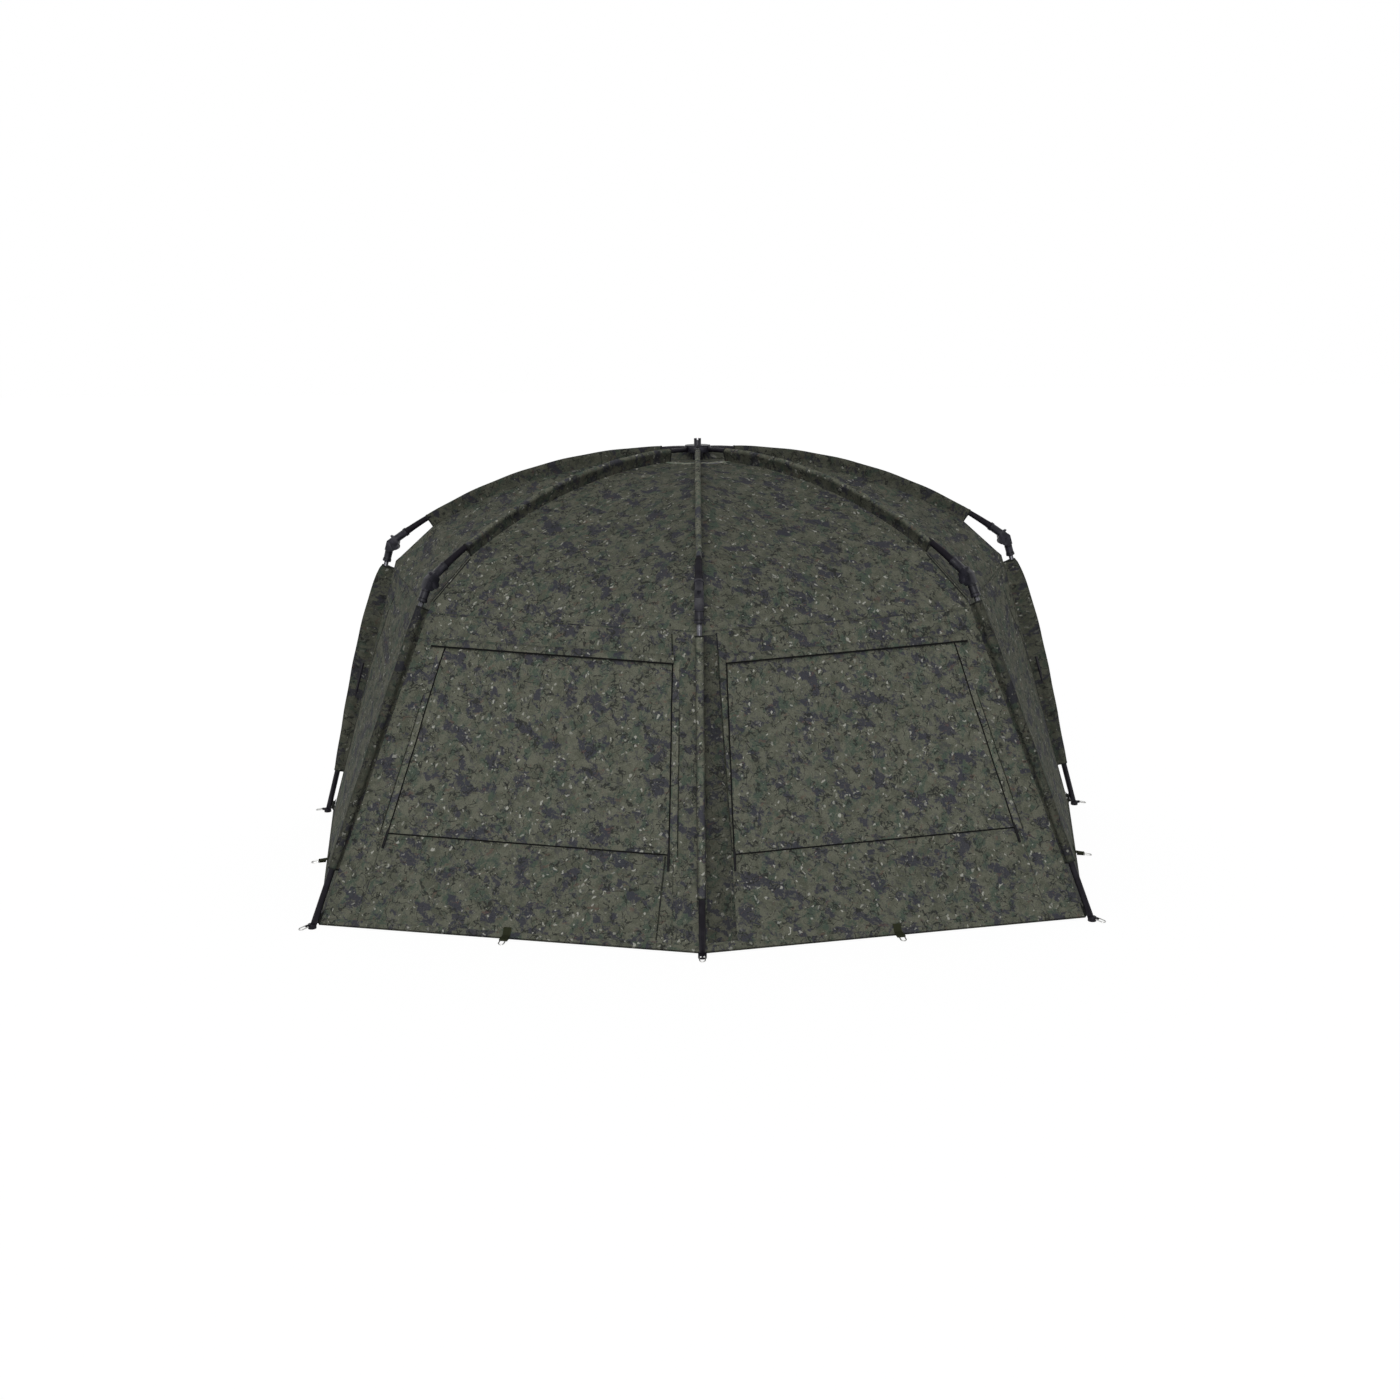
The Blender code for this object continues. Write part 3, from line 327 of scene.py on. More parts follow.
def roundBar(name, points, radius, radii=None, closed=False, sides=4):
    curve = bpy.data.curves.new(name, "CURVE")
    curve.dimensions = "3D"
    curve.bevel_depth = radius
    curve.bevel_resolution = sides
    curve.use_fill_caps = not closed
    spline = curve.splines.new("POLY")
    spline.points.add(len(points) - 1)
    for index, point in enumerate(points):
        spline.points[index].co = (*point, 1.0)
        spline.points[index].radius = 1.0 if radii is None else radii[index]
    spline.use_cyclic_u = closed
    bar = bpy.data.objects.new(name, curve)
    bpy.context.scene.collection.objects.link(bar)
    choose(bar)
    bpy.ops.object.convert(target="MESH")
    bar = rename(bpy.context.object, name)
    editMesh(bar, bpy.ops.mesh.remove_doubles, threshold=0.00002)
    editMesh(bar, bpy.ops.mesh.normals_make_consistent, inside=False)
    smooth(bar, 45.0)
    return bar


def nodeCopy(node, name, bevel=0.0006, angle=32.0):
    # a merged copy of a CAD piece with its edges rounded
    piece = bpy.data.objects.new(name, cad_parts[node].data.copy())
    bpy.context.scene.collection.objects.link(piece)
    rename(piece, name)
    piece.data.materials.clear()
    editMesh(piece, bpy.ops.mesh.remove_doubles, threshold=0.00001)
    applyModifier(piece, "BEVEL", width=bevel, segments=2, limit_method="ANGLE",
                  angle_limit=math.radians(angle), harden_normals=False)
    smooth(piece, angle)
    return piece


def cutCopy(piece, point, way):
    # keeps what lies behind a plane, and closes the cut
    editMesh(piece, bpy.ops.mesh.bisect, plane_co=tuple(point), plane_no=tuple(way), use_fill=True, clear_outer=True)
    return piece


def finishPiece(piece, body, material, nodes=(), gather=None):
    piece.data.materials.clear()
    piece.data.materials.append(material)
    if nodes:
        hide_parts(*nodes)
    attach(piece, body)
    if gather:
        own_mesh(piece)
    return piece


# Materials

def newNode(tree, kind, inputs=None, **settings):
    node = tree.nodes.new(kind)
    for key, value in settings.items():
        setattr(node, key, value)
    for key, value in (inputs or {}).items():
        if isinstance(value, bpy.types.NodeSocket):
            tree.links.new(value, node.inputs[key])
        else:
            node.inputs[key].default_value = value
    return node


def newGroup(name, inputs, outputs):
    group = bpy.data.node_groups.new(name, "ShaderNodeTree")
    for label, kind, value in inputs:
        socket = group.interface.new_socket(name=label, in_out="INPUT", socket_type=kind)
        if value is not None:
            socket.default_value = value
    for label, kind in outputs:
        group.interface.new_socket(name=label, in_out="OUTPUT", socket_type=kind)
    return group, group.nodes.new("NodeGroupInput"), group.nodes.new("NodeGroupOutput")


def soften(tree, value, low, high):
    # 0 below low, 1 above high, with a soft step between
    return newNode(tree, "ShaderNodeMapRange", {"Value": value, "From Min": low, "From Max": high},
                   interpolation_type="SMOOTHSTEP").outputs["Result"]


def reckon(tree, first, second, operation="MULTIPLY"):
    return newNode(tree, "ShaderNodeMath", {0: first, 1: second}, operation=operation).outputs[0]


def paintOver(tree, under, over, mask):
    # colours may be plain triples
    under, over = ((*value, 1.0) if isinstance(value, tuple) else value for value in (under, over))
    return newNode(tree, "ShaderNodeMix", {0: mask, 6: under, 7: over}, data_type="RGBA").outputs[2]


def turned(tree, vector, degrees, stretch, shift):
    # the pattern drawn out along one direction and turned
    inputs = {"Vector": vector, "Rotation": (0.0, 0.0, math.radians(degrees)),
              "Scale": (stretch, 1.0, 1.0), "Location": shift}
    return newNode(tree, "ShaderNodeMapping", inputs, vector_type="TEXTURE").outputs["Vector"]


def noise(tree, vector, scale, detail=2.0, roughness=0.5):
    return newNode(tree, "ShaderNodeTexNoise", {"Vector": vector, "Scale": scale, "Detail": detail,
                                               "Roughness": roughness}).outputs["Fac"]


camoColours = {
    "khaki": (0.110, 0.112, 0.086),
    "olive": (0.070, 0.074, 0.055),
    "moss": (0.048, 0.068, 0.052),
    "slate": (0.036, 0.036, 0.047),
    "brown": (0.100, 0.064, 0.052),
    "twig": (0.022, 0.023, 0.021),
    "pale": (0.340, 0.340, 0.300),
}


# ragged patches, each laid over the last: colour, turn, stretch, scale, where they begin and are full, shift, detail,
# roughness, strength
camoPatches = (
    ("khaki", 40.0, 1.3, 27.0, 0.390, 0.600, 0.0, 6.0, 0.70, 1.00),
    ("moss", 65.0, 1.7, 23.0, 0.520, 0.580, 7.0, 6.0, 0.70, 0.80),
    ("slate", -25.0, 1.4, 17.0, 0.535, 0.570, 3.0, 5.0, 0.66, 0.88),
    ("slate", -40.0, 2.2, 54.0, 0.540, 0.620, 11.0, 3.0, 0.70, 0.45),
    ("brown", 20.0, 2.0, 50.0, 0.610, 0.670, 5.0, 3.0, 0.70, 0.60),
    ("khaki", 75.0, 2.8, 60.0, 0.570, 0.620, 17.0, 3.0, 0.70, 0.62),
    ("khaki", -20.0, 2.8, 60.0, 0.570, 0.620, 23.0, 3.0, 0.70, 0.62),
)
# thin dark lines, by turn and least density, and pale chips, by turn, scale and least value
camoTwigs = {"kinds": ((15.0, 0.47), (-55.0, 0.50), (80.0, 0.53)), "stretch": 2.6, "scale": 24.0,
             "core": 0.005, "edge": 0.016, "fade": 0.04, "strength": 0.85}
camoSpecks = {"kinds": ((35.0, 66.0, 0.55), (-50.0, 74.0, 0.60), (85.0, 60.0, 0.66)), "stretch": 1.9,
              "least": 0.11, "more": 0.14, "sharp": 14.0, "dimmest": 0.3, "strength": 0.66}
camoFine = {"wander": 60.0, "wanderBy": 0.020, "grain": 260.0, "grainLow": 0.78, "grainMore": 0.44, "weave": 260.0}


def makeCamoGroup():
    group, start, end = newGroup("leafCamouflage",
                                 [("Threads", "NodeSocketVector", None), ("Shade", "NodeSocketFloat", 1.0)],
                                 [("Colour", "NodeSocketColor"), ("Weave", "NodeSocketFloat")])
    threads = start.outputs["Threads"]
    wander = newNode(group, "ShaderNodeTexNoise", {"Vector": threads, "Scale": camoFine["wander"], "Detail": 2.0})
    warped = newNode(group, "ShaderNodeVectorMath", {0: wander.outputs["Color"], 1: (-0.5, -0.5, -0.5)},
                     operation="ADD").outputs[0]
    warped = newNode(group, "ShaderNodeVectorMath", {0: warped, "Scale": camoFine["wanderBy"]},
                     operation="SCALE").outputs[0]
    warped = newNode(group, "ShaderNodeVectorMath", {0: warped, 1: threads}, operation="ADD").outputs[0]
    colour = camoColours["olive"]
    for name, degrees, stretch, scale, low, high, shift, detail, roughness, strength in camoPatches:
        spots = turned(group, warped, degrees, stretch, (shift, 2.0 * shift, 0.0))
        patch = soften(group, noise(group, spots, scale, detail, roughness), low, high)
        colour = paintOver(group, colour, camoColours[name], reckon(group, patch, strength))
    for index, (degrees, density) in enumerate(camoTwigs["kinds"]):
        spots = turned(group, warped, degrees, camoTwigs["stretch"], (3.0 * index + 1.0, 4.0, 0.0))
        line = reckon(group, noise(group, spots, camoTwigs["scale"]), 0.5, "SUBTRACT")
        line = soften(group, reckon(group, line, 0.0, "ABSOLUTE"), camoTwigs["core"], camoTwigs["edge"])
        thin = reckon(group, 1.0, line, "SUBTRACT")
        spots = turned(group, threads, 0.0, 1.0, (index + 6.0, 2.0, 0.0))
        where = soften(group, noise(group, spots, camoTwigs["scale"], 1.0), density, density + camoTwigs["fade"])
        mask = reckon(group, reckon(group, thin, where), camoTwigs["strength"])
        colour = paintOver(group, colour, camoColours["twig"], mask)
    for index, (degrees, scale, least) in enumerate(camoSpecks["kinds"]):
        spots = turned(group, warped, degrees, camoSpecks["stretch"], (index * 2.7, 1.0, 0.0))
        chips = newNode(group, "ShaderNodeTexVoronoi", {"Vector": spots, "Scale": scale})
        single = newNode(group, "ShaderNodeSeparateColor", {"Color": chips.outputs["Color"]})
        size = reckon(group, single.outputs["Blue"], camoSpecks["more"])
        size = reckon(group, size, camoSpecks["least"], "ADD")
        edge = reckon(group, reckon(group, size, chips.outputs["Distance"], "SUBTRACT"), camoSpecks["sharp"])
        here = reckon(group, single.outputs["Red"], least, "GREATER_THAN")
        bright = reckon(group, single.outputs["Green"], camoSpecks["dimmest"], "ADD")
        bright = reckon(group, reckon(group, soften(group, edge, 0.0, 1.0), here), bright)
        mask = reckon(group, bright, camoSpecks["strength"])
        colour = paintOver(group, colour, camoColours["pale"], mask)
    grain = soften(group, noise(group, threads, camoFine["grain"], 3.0, 0.65), 0.25, 0.75)
    grain = reckon(group, reckon(group, grain, camoFine["grainMore"]), camoFine["grainLow"], "ADD")
    level = reckon(group, grain, start.outputs["Shade"])
    colour = newNode(group, "ShaderNodeVectorMath", {0: colour, "Scale": level}, operation="SCALE").outputs[0]
    weft, warp = (newNode(group, "ShaderNodeTexWave", {"Vector": threads, "Scale": camoFine["weave"]},
                          bands_direction=way).outputs["Fac"] for way in "XY")
    group.links.new(colour, end.inputs["Colour"])
    group.links.new(reckon(group, weft, warp), end.inputs["Weave"])
    return group


camoGroup = makeCamoGroup()


def startMaterial(name, **values):
    material = bpy.data.materials.new(name)
    material.use_nodes = True
    tree = material.node_tree
    shader = tree.nodes["Principled BSDF"]
    for key, value in values.items():
        shader.inputs[key].default_value = value
    return material, tree, shader


def camoMaterial(name, shade, finPaintedShade=None, finWidth=0.10):
    # painted light and shade on the sleeves: the colour goes from one level over the crown of the pole to another at
    # the fin, standing in for how light falls on them; there u runs over finWidth
    material, tree, shader = startMaterial(name, Roughness=0.92)
    shader.inputs["Specular IOR Level"].default_value = 0.10
    threads = newNode(tree, "ShaderNodeUVMap", uv_map="UVMap").outputs["UV"]
    camo = newNode(tree, "ShaderNodeGroup", node_tree=camoGroup)
    tree.links.new(threads, camo.inputs["Threads"])
    camo.inputs["Shade"].default_value = shade
    if finPaintedShade:
        u = newNode(tree, "ShaderNodeSeparateXYZ", {"Vector": threads}).outputs["X"]
        across = reckon(tree, reckon(tree, u, 1.0, "FLOORED_MODULO"), finWidth / 2, "SUBTRACT")
        # painted shade mask: 0 over the crown, 1 towards the fin
        crown = soften(tree, reckon(tree, across, 0.0, "ABSOLUTE"), finWidth * 0.02, finWidth * 0.22)
        level = newNode(tree, "ShaderNodeMapRange", {"Value": crown, "To Min": shade, "To Max": finPaintedShade})
        tree.links.new(level.outputs["Result"], camo.inputs["Shade"])
    tree.links.new(camo.outputs["Colour"], shader.inputs["Base Color"])
    soft = noise(tree, threads, 9.0, 3.0, 0.55)
    puckers = newNode(tree, "ShaderNodeBump", {"Strength": 0.18, "Distance": 0.010, "Height": soft})
    bump = newNode(tree, "ShaderNodeBump", {"Strength": 0.22, "Distance": 0.0004, "Height": camo.outputs["Weave"],
                                           "Normal": puckers.outputs["Normal"]})
    tree.links.new(bump.outputs["Normal"], shader.inputs["Normal"])
    return material


def grainGroup():
    group, start, end = newGroup("fineGrain",
                                 [("Dark", "NodeSocketColor", (0.01, 0.01, 0.012, 1.0)),
                                  ("Light", "NodeSocketColor", (0.02, 0.02, 0.023, 1.0)),
                                  ("Scale", "NodeSocketFloat", 300.0), ("Roughness", "NodeSocketFloat", 0.5)],
                                 [("Colour", "NodeSocketColor"), ("Roughness", "NodeSocketFloat"),
                                  ("Height", "NodeSocketFloat")])
    spot = newNode(group, "ShaderNodeTexCoord").outputs["Object"]
    fine = newNode(group, "ShaderNodeTexNoise", {"Vector": spot, "Scale": start.outputs["Scale"], "Detail": 3.0})
    wide = newNode(group, "ShaderNodeTexNoise", {"Vector": spot, "Scale": 35.0, "Detail": 4.0, "Roughness": 0.65})
    rub = soften(group, wide.outputs["Fac"], 0.42, 0.66)
    colour = paintOver(group, start.outputs["Dark"], start.outputs["Light"], rub)
    uneven = reckon(group, reckon(group, fine.outputs["Fac"], 0.3), 0.85, "ADD")
    rough = reckon(group, start.outputs["Roughness"], uneven)
    group.links.new(colour, end.inputs["Colour"])
    group.links.new(rough, end.inputs["Roughness"])
    group.links.new(fine.outputs["Fac"], end.inputs["Height"])
    return group


fineGrain = grainGroup()


def grainMaterial(name, dark, light, scale, roughness, bump, metallic=0.0, specular=0.22):
    material, tree, shader = startMaterial(name, Metallic=metallic)
    grain = newNode(tree, "ShaderNodeGroup", node_tree=fineGrain)
    grain.inputs["Dark"].default_value = (*dark, 1.0)
    grain.inputs["Light"].default_value = (*light, 1.0)
    grain.inputs["Scale"].default_value = scale
    grain.inputs["Roughness"].default_value = roughness
    shader.inputs["Specular IOR Level"].default_value = specular
    tree.links.new(grain.outputs["Colour"], shader.inputs["Base Color"])
    tree.links.new(grain.outputs["Roughness"], shader.inputs["Roughness"])
    normal = newNode(tree, "ShaderNodeBump", {"Strength": bump, "Distance": 0.0003, "Height": grain.outputs["Height"]})
    tree.links.new(normal.outputs["Normal"], shader.inputs["Normal"])
    return material


def tapeMaterial(name, dark, light):
    # woven tape: fine ribs across, from the piece's own threads
    material, tree, shader = startMaterial(name, Roughness=0.9)
    shader.inputs["Specular IOR Level"].default_value = 0.08
    threads = newNode(tree, "ShaderNodeUVMap", uv_map="UVMap").outputs["UV"]
    ribsAcross = newNode(tree, "ShaderNodeTexWave", {"Vector": threads, "Scale": 190.0, "Distortion": 0.4},
                         bands_direction="Y")
    speckle = noise(tree, threads, 700.0, 2.0)
    tone = reckon(tree, reckon(tree, ribsAcross.outputs["Fac"], 0.6), reckon(tree, speckle, 0.4), "ADD")
    colour = paintOver(tree, dark, light, tone)
    tree.links.new(colour, shader.inputs["Base Color"])
    bump = newNode(tree, "ShaderNodeBump", {"Strength": 0.5, "Distance": 0.0004, "Height": ribsAcross.outputs["Fac"]})
    tree.links.new(bump.outputs["Normal"], shader.inputs["Normal"])
    return material


canopyCloth = camoMaterial("canopyCloth", 1.0)
# lit and shaded copies of the camo for the sleeves, painted light and shade: lighter over the crown, darker at the fin;
# the centre's upper sleeve is painted lighter still, and shadedSleeve is painted dark all over, as if in shade
sleeveCloth = camoMaterial("sleeveCloth", 1.20, 0.48)
centreSleeve = camoMaterial("centreSleeve", 1.45, 0.62)
shadedSleeve = camoMaterial("shadedSleeve", 0.50, 0.62)
seamCloth = camoMaterial("seamCloth", 0.72)
gussetCloth = camoMaterial("gussetCloth", 0.62)
coverCloth = camoMaterial("coverCloth", 1.04)
# lighter cloth, with painted light on top that lifts it out of the hub's shade
patchCloth = camoMaterial("patchCloth", 2.90)
seamLight = camoMaterial("seamLight", 1.20)
seamDark = camoMaterial("seamDark", 0.34)
blackTape = tapeMaterial("blackTape", (0.010, 0.011, 0.010), (0.024, 0.025, 0.023))
bindingBlack = tapeMaterial("bindingBlack", (0.003, 0.003, 0.003), (0.008, 0.008, 0.008))
oliveTape = tapeMaterial("oliveTape", (0.016, 0.018, 0.010), (0.034, 0.037, 0.020))
mouldedBlack = grainMaterial("mouldedBlack", (0.009, 0.009, 0.013), (0.021, 0.020, 0.028), 420.0, 0.40, 0.30,
                             specular=0.20)
rubberBlack = grainMaterial("rubberBlack", (0.007, 0.006, 0.009), (0.013, 0.012, 0.016), 240.0, 0.62, 0.5,
                            specular=0.08)
powderBlack = grainMaterial("powderBlack", (0.006, 0.005, 0.008), (0.012, 0.011, 0.015), 650.0, 0.46, 0.3,
                            specular=0.12)
greyTube = grainMaterial("greyTube", (0.075, 0.075, 0.085), (0.115, 0.115, 0.125), 900.0, 0.34, 0.08, 0.85)
wireSteel = grainMaterial("wireSteel", (0.42, 0.42, 0.41), (0.56, 0.56, 0.55), 500.0, 0.30, 0.12, 1.0)
zipBlack = grainMaterial("zipBlack", (0.004, 0.004, 0.005), (0.010, 0.010, 0.011), 500.0, 0.55, 0.3, specular=0.12)
print("materials made")


# How each part of the canopy is drawn in when its rib folds

def gatherRecord(body, joint, points, lineStart, lineEnd, keep=0.05):
    line = unit(np.subtract(lineEnd, lineStart))
    offsets = points - lineStart
    offsets = offsets - np.outer(offsets @ line, line)
    _, _, ways = np.linalg.svd(offsets, full_matrices=False)
    return {"body": body, "joint": joint, "axis": tuple(ways[0]), "anchor": tuple(lineStart), "keep": keep}


for bay in bays.values():
    rib = ribs[bay["carrier"]]
    share, run = np.meshgrid(np.linspace(0, 1, 9), np.linspace(0, 1, 9))
    roofSpots = bayCloth(bay, share.ravel(), run.ravel() * bay["roofLength"])
    wallSpots = bayCloth(bay, share.ravel(), bay["roofLength"] + run.ravel() * bay["wallLength"])
    start = place(rib["turn"], rib["roofLine"][0])
    knee = place(rib["turn"], rib["wallTop"])
    hem = place(rib["turn"], rib["hem"])
    joint = bay["carrier"] + "_fold"
    bay["roofGather"] = gatherRecord(bay["carrier"] + "_upper", joint, roofSpots, start, knee)
    bay["wallGather"] = gatherRecord(bay["carrier"] + "_lower", joint, wallSpots, knee, hem)


# Canopy
trims = {}          # the trims on each sheet
sheets = {}


def keepSheet(piece, length):
    piece["flatLength"] = length
    sheets[piece.name] = piece
    trims[piece.name] = []


def baySheet(name, bayName, near, far, rows, node, gather, lift=0.0, across=(0.0, 1.0), material=canopyCloth,
             thickness=canopy["thickness"], pattern=(0.0, 0.0)):
    bay = bays[bayName]

    def shape(a, b):
        share = across[0] + (across[1] - across[0]) * a
        run = far + (near - far) * b
        points = bayCloth(bay, share, run, lift)
        wide = bayWidth(bay, run)
        threads = np.stack([(share - 0.5) * wide / bay.get("printWide", 1.0) + bay["pattern"][0] + pattern[0],
                            -printRun(bay, run) + bay["pattern"][1] + pattern[1]], -1)
        return points, threads

    piece = clothGrid(name, canopy["columns"], rows, shape, thickness)
    finishPiece(piece, gather["body"], material, [node], gather)
    keepSheet(piece, far - near)


for bayName, bay in bays.items():
    for part, near, far in (("roof", 0.0, bay["roofLength"]), ("wall", bay["roofLength"], bay["length"])):
        baySheet(bayName + "_" + part, bayName, near, far, canopy["rows"], bayName + "_panel", bay[part + "Gather"])
print("canopy bays made")

# width, lift and thickness of what is sewn on: the width may change along it, the lift across it
sections = {
    "rainFlap": (0.026, lambda a: 0.0014 + 0.0090 * np.minimum(1.0, a * 3.0), 0.0010),
    "flapEdge": (0.0050, 0.0117, 0.0016),
    "zip": (0.0036, 0.0040, 0.0016),
    "zipFlap": (0.021, lambda a: 0.0016 + 0.0014 * np.sin(np.pi * a), 0.0009),
    "flapSeam": (0.0034, 0.0022, 0.0008),
    "sideSeam": (0.0030, 0.0009, 0.0007),
    "coverHem": (0.0040, 0.0044, 0.0016),
    "hem": (0.022, 0.0012, 0.0010),
    "hemEdge": (0.0042, 0.0024, 0.0010),
    "seam": (0.0045, 0.0012, 0.0010),
    "gusset": (lambda b: 0.090 - 0.049 * b, 0.0009, 0.0007),
    "hubPatch": (0.034, 0.0016, 0.0010),
    "edgeTape": (0.0042, 0.0010, 0.0010),
}


def bayStrip(bayName, name, path, section, material, part="wall", columns=4, rows=30):
    # a strip that follows the cloth: path is (share, run) points
    bay = bays[bayName]
    gather = bay[part + "Gather"]
    width, lift, thickness = sections[section]
    path = np.array(path, float)
    middle = bayWidth(bay, path[:, 1].mean(keepdims=True))[0]
    steps = np.hypot(np.diff(path[:, 0]) * middle, np.diff(path[:, 1]))
    marks = np.concatenate([[0.0], np.cumsum(steps)]) / steps.sum()

    def pathAt(b):
        return np.interp(b, marks, path[:, 0]), np.interp(b, marks, path[:, 1])

    def shape(a, b):
        share, run = pathAt(b)
        shareAhead, runAhead = pathAt(np.minimum(b + 0.02, 1.0))
        shareBehind, runBehind = pathAt(np.maximum(b - 0.02, 0.0))
        wide = bayWidth(bay, run)
        overShare, overRun = (shareAhead - shareBehind) * wide, runAhead - runBehind
        size = np.hypot(overShare, overRun)
        offset = (a - 0.5) * (width(b) if callable(width) else width)
        share = share - overRun / size * offset / wide
        run = run + overShare / size * offset
        points = bayCloth(bay, share, run, lift(a) if callable(lift) else lift)
        threads = np.stack([offset + bay["pattern"][1] + 2.0, b * steps.sum() + bay["pattern"][0]], -1)
        return points, threads

    piece = clothGrid(bayName + "_" + name, columns, rows, shape, thickness)
    finishPiece(piece, gather["body"], material, (), gather)
    trims[bayName + "_" + part].append(piece)


# Windows: a cover held by a zip down each side, under a rain flap
window = {
    "inner": 0.088, "outer": 0.892, "top": 0.125, "bottom": 0.71, "rows": 40,
    "lift": 0.0022, "thickness": 0.0010, "pattern": (31.0, 17.0),
    "zipFlap": 0.026, "flapInner": 0.006, "flapOuter": 0.045,
}
windowBays = (("rear_right", False), ("rear_left", True))


def wallRun(bay, down):
    return bay["roofLength"] + bay["wallLength"] * down


for bayName, mirrored in windowBays:
    bay = bays[bayName]
    top, bottom = wallRun(bay, window["top"]), wallRun(bay, window["bottom"])
    left, right = window["inner"], window["outer"]
    flapLeft, flapRight = left - window["flapInner"], right + window["flapOuter"]
    if mirrored:
        left, right, flapLeft, flapRight = 1.0 - right, 1.0 - left, 1.0 - flapRight, 1.0 - flapLeft
    baySheet(bayName + "_cover", bayName, top, bottom, window["rows"], bayName + "_window_cover", bay["wallGather"],
             window["lift"], (left, right), coverCloth, window["thickness"], window["pattern"])
    bayStrip(bayName, "rain_flap", [(flapLeft, top - 0.004), (flapRight, top - 0.004)], "rainFlap", canopyCloth,
             columns=6)
    bayStrip(bayName, "flap_edge", [(flapLeft, top + 0.0095), (flapRight, top + 0.0095)], "flapEdge", bindingBlack)
    flapShare = window["zipFlap"] / bayWidth(bay, np.array([bottom]))[0]
    for side, share, out in (("left", left, -1.0), ("right", right, 1.0)):
        middle, edge = share + out * flapShare / 2, share + out * flapShare
        bayStrip(bayName, side + "_zip", [(share, bottom + 0.004), (share, top)], "zip", bindingBlack)
        if (bayName, side) != ("rear_right", "left"):
            bayStrip(bayName, side + "_zip_flap", [(middle, bottom + 0.006), (middle, top)], "zipFlap", seamLight)
            bayStrip(bayName, side + "_flap_edge_seam", [(edge, bottom + 0.006), (edge, top + 0.16)], "flapSeam",
                     seamDark)
        bayStrip(bayName, side + "_side_seam", [(middle, bay["length"] - 0.02), (middle, bottom + 0.012)], "sideSeam",
                 seamCloth)
    bayStrip(bayName, "cover_hem", [(left, bottom), (right, bottom)], "coverHem", bindingBlack)
print("windows made")

# Hems and seams on each bay
for bayName, bay in bays.items():
    for name, run, first, last, section, material, columns in (
            ("hem", bay["length"] - 0.011, 0.0, 1.0, "hem", canopyCloth, 4),
            ("hem_edge", bay["length"] - 0.0030, 0.0, 1.0, "hemEdge", seamDark, 2),
            ("knee_seam", bay["roofLength"] + 0.034, 0.015, 0.985, "seam", seamCloth, 4)):
        bayStrip(bayName, name, [(first, run), (last, run)], section, material, columns=columns, rows=50)
# a darker strip beside the middle rib, up to the right window's inner edge
gusset = [(share, wallRun(bays["rear_right"], down)) for share, down in ((0.0505, 0.970), (0.0475, 0.70),
                                                                        (0.0355, 0.045))]
bayStrip("rear_right", "gusset", gusset, "gusset", gussetCloth, columns=8, rows=60)
for bayName, name, path in (("rear_right", "centre_seam", ((0.0830, 0.70), (0.0585, 0.040))),
                            ("rear_left", "high_centre_seam", ((0.910, 0.125), (0.906, 0.045))),
                            ("rear_left", "low_centre_seam", ((0.884, 0.97), (0.902, 0.715))),
                            ("side_left", "outer_seam", ((0.028, 0.97), (0.024, 0.42), (0.060, 0.31), (0.165, 0.11))),
                            ("side_right", "outer_seam", ((0.972, 0.97), (0.976, 0.42), (0.940, 0.31), (0.835, 0.11)))):
    path = [(share, wallRun(bays[bayName], down)) for share, down in path]
    bayStrip(bayName, name, path, "seam", seamDark, rows=50)
print("hems and seams made")


# Ribs: pole, boot, knuckle, grey tube, leg, peg ring and the two sleeves
ribPiece = {
    "eyeCut": (0.040, 0.050), "poleStart": (0.0172, 0.019), "poleEnd": 0.034, "poleSteps": 60,
    "bootStart": 0.071, "bootEnd": 0.185, "bootWide": 1.50, "bootThin": 1.14, "bootLip": 0.05,
    "tubeStart": (0.0330, 0.034), "tubeEnd": (0.178, 0.180), "sleeveThickness": 0.0011, "sleeveBand": 0.005,
    "sleeveRadius": 0.0098, "lowerSleeveRadius": 0.0128,
    "upperSleeveStart": 0.085, "upperSleeveEnd": 0.165,
    "lowerSleeveStart": 0.084, "centreSleeveStart": 0.103, "bareLeg": 0.170, "cornerBareLeg": 0.188,
    "sleeveCut": 0.10, "sideLoose": 0.026, "cornerLoose": 0.004,
    "footHeight": 0.0145, "legTube": 0.600,
    "socketRings": (0.0330, 0.0570), "socketRingWidth": 0.0026, "socketRingRadius": 0.0142,
    "seamPast": 0.0003,      # how far a sleeve's fin reaches past the cloth's edge
}
upWay = np.array([0.0, 0.0, 1.0])


